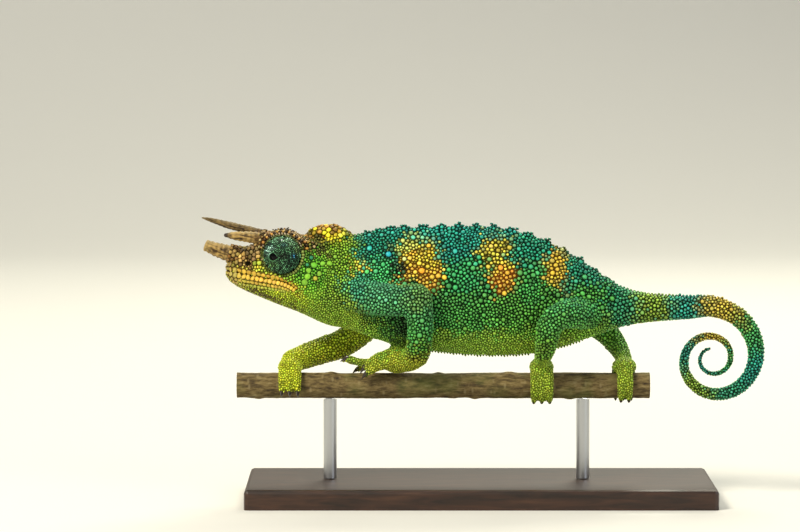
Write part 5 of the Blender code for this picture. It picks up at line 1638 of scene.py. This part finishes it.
# Horn keratin: dense and dry with a dull sheen, tan with dark streaks where fibres have split
horn_sheath, tree, shader = finish("horn keratin", "a88a60", 0.6, Specular_IOR_Level=0.3)
pigment = add(tree, "ShaderNodeAttribute", attribute_name="pigment").outputs["Color"]
tree.links.new(pigment, shader.inputs["Base Color"])
place = add(tree, "ShaderNodeTexCoord").outputs["Object"]
along = add(tree, "ShaderNodeMapping", {"Scale": (0.25, 1, 1)}, {"Vector": place})
fibre = add(
    tree,
    "ShaderNodeTexNoise",
    {"Scale": FIBRES_PER_MM / MM, "Detail": 3.0},
    {"Vector": along.outputs["Vector"]},
).outputs["Fac"]
bump = add(tree, "ShaderNodeBump", {"Strength": 0.45, "Distance": 0.00006}, {"Height": fibre})
tree.links.new(bump.outputs["Normal"], shader.inputs["Normal"])


def horn(name, node, table, blunt, dark_tip, seed, tone=1.0):
    """A ringed, streaked sheath along a curve, its tip rounded or worn flat."""
    rows = smooth_line(table)
    steps = np.linalg.norm(np.diff(rows[:, :3], axis=0), axis=1)
    run = np.concatenate([[0], np.cumsum(steps)])
    end = run[-1]
    sheath_rings = HORN_RINGS - len(HORN_CAPS)
    stations = [*np.linspace(-HORN_ROOT, end, sheath_rings), *[end] * len(HORN_CAPS)]
    points, colours = [], []
    side = None
    for n, station in enumerate(stations):
        inside = np.clip(station, 0, end)
        x, y, z, radius = (np.interp(inside, run, rows[:, k]) for k in range(4))
        ahead_row = [np.interp(min(inside + 0.3, end), run, rows[:, k]) for k in range(3)]
        behind_row = [np.interp(max(inside - 0.3, 0), run, rows[:, k]) for k in range(3)]
        heading = unit(np.array(ahead_row) - np.array(behind_row))
        side = unit(np.cross(heading, (0.1, 1.0, 0.2)) if side is None else side)
        side = unit(side - heading * (side @ heading))
        third = np.cross(heading, side)
        middle = np.array((x, y, z)) + heading * min(station, 0)
        closing, push = 1.0, 0.0
        if n >= sheath_rings:
            cap = HORN_CAPS[n - sheath_rings]
            closing, push = math.sqrt(1 - cap**2), cap * radius * (0.25 if blunt else 0.9)
        radius_here = radius * (1.0 if station > 0 else 1 + 0.05 * station) * closing
        middle = middle + heading * push
        for i in range(HORN_SIDES):
            angle = 2 * math.pi * i / HORN_SIDES
            c, s = math.cos(angle), math.sin(angle)
            streak = noise.noise(Vector((station * 0.28 + seed, c * 3.2, s * 3.2)))
            fine = noise.noise(Vector((station * 0.9 + seed * 3, c * 7.5, s * 7.5)))
            growth = math.sin(station * 4.3 + 2.2 * noise.noise(Vector((station, c, s))))
            dent = 0.045 * growth + 0.11 * streak + 0.05 * fine - 0.07
            r = radius_here * (1 + dent * (0.4 * closing if closing < 1 else 1.0))
            points.append(middle + (side * c + third * s) * r)
            # Dark and tan streaks, paler where worn and where the light falls, brown at the root
            share = np.clip(0.5 + 1.6 * streak + 1.1 * fine - 0.15 * growth, 0, 1)
            share = share * closing**2 + 0.7 * (1 - closing**2)
            tint = (linear("3c290e") * (1 - share) + linear("ae8f50") * share) * tone
            worn = np.clip((station - end + 2.4) / 2.4, 0, 1) * (0.0 if dark_tip else 0.55)
            tint = tint * (1 - worn) + linear("bba164") * tone * worn
            lit = 0.6 * max(side.dot((0, 0, 1)) * c + third.dot((0, 0, 1)) * s, 0.0) ** 3
            tint = tint * (1 - lit) + linear("d6c08a") * tone * lit
            if dark_tip:
                tip = np.clip((station - end + 1.5) / 1.2, 0, 1)
                tint = tint * (1 - tip) + linear("33261c") * tip
            root = np.clip((2.2 - station) / 2.6, 0, 1) * 0.55
            colours.append(tint * (1 - root) + linear("5f421c") * root)
    piece = mesh_piece(name, np.array(points), ring_faces(HORN_RINGS, HORN_SIDES), horn_sheath)
    paint(piece, np.array(colours))
    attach(piece, "root")
    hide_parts(node)


horn("nose_horn_sheath", "nose_horn", NOSE_HORN, True, False, 1.0)
horn("left_horn_sheath", "left_brow_horn", LEFT_HORN, False, True, 5.0)
horn("right_horn_sheath", "right_brow_horn", RIGHT_HORN, False, False, 9.0, tone=0.48)
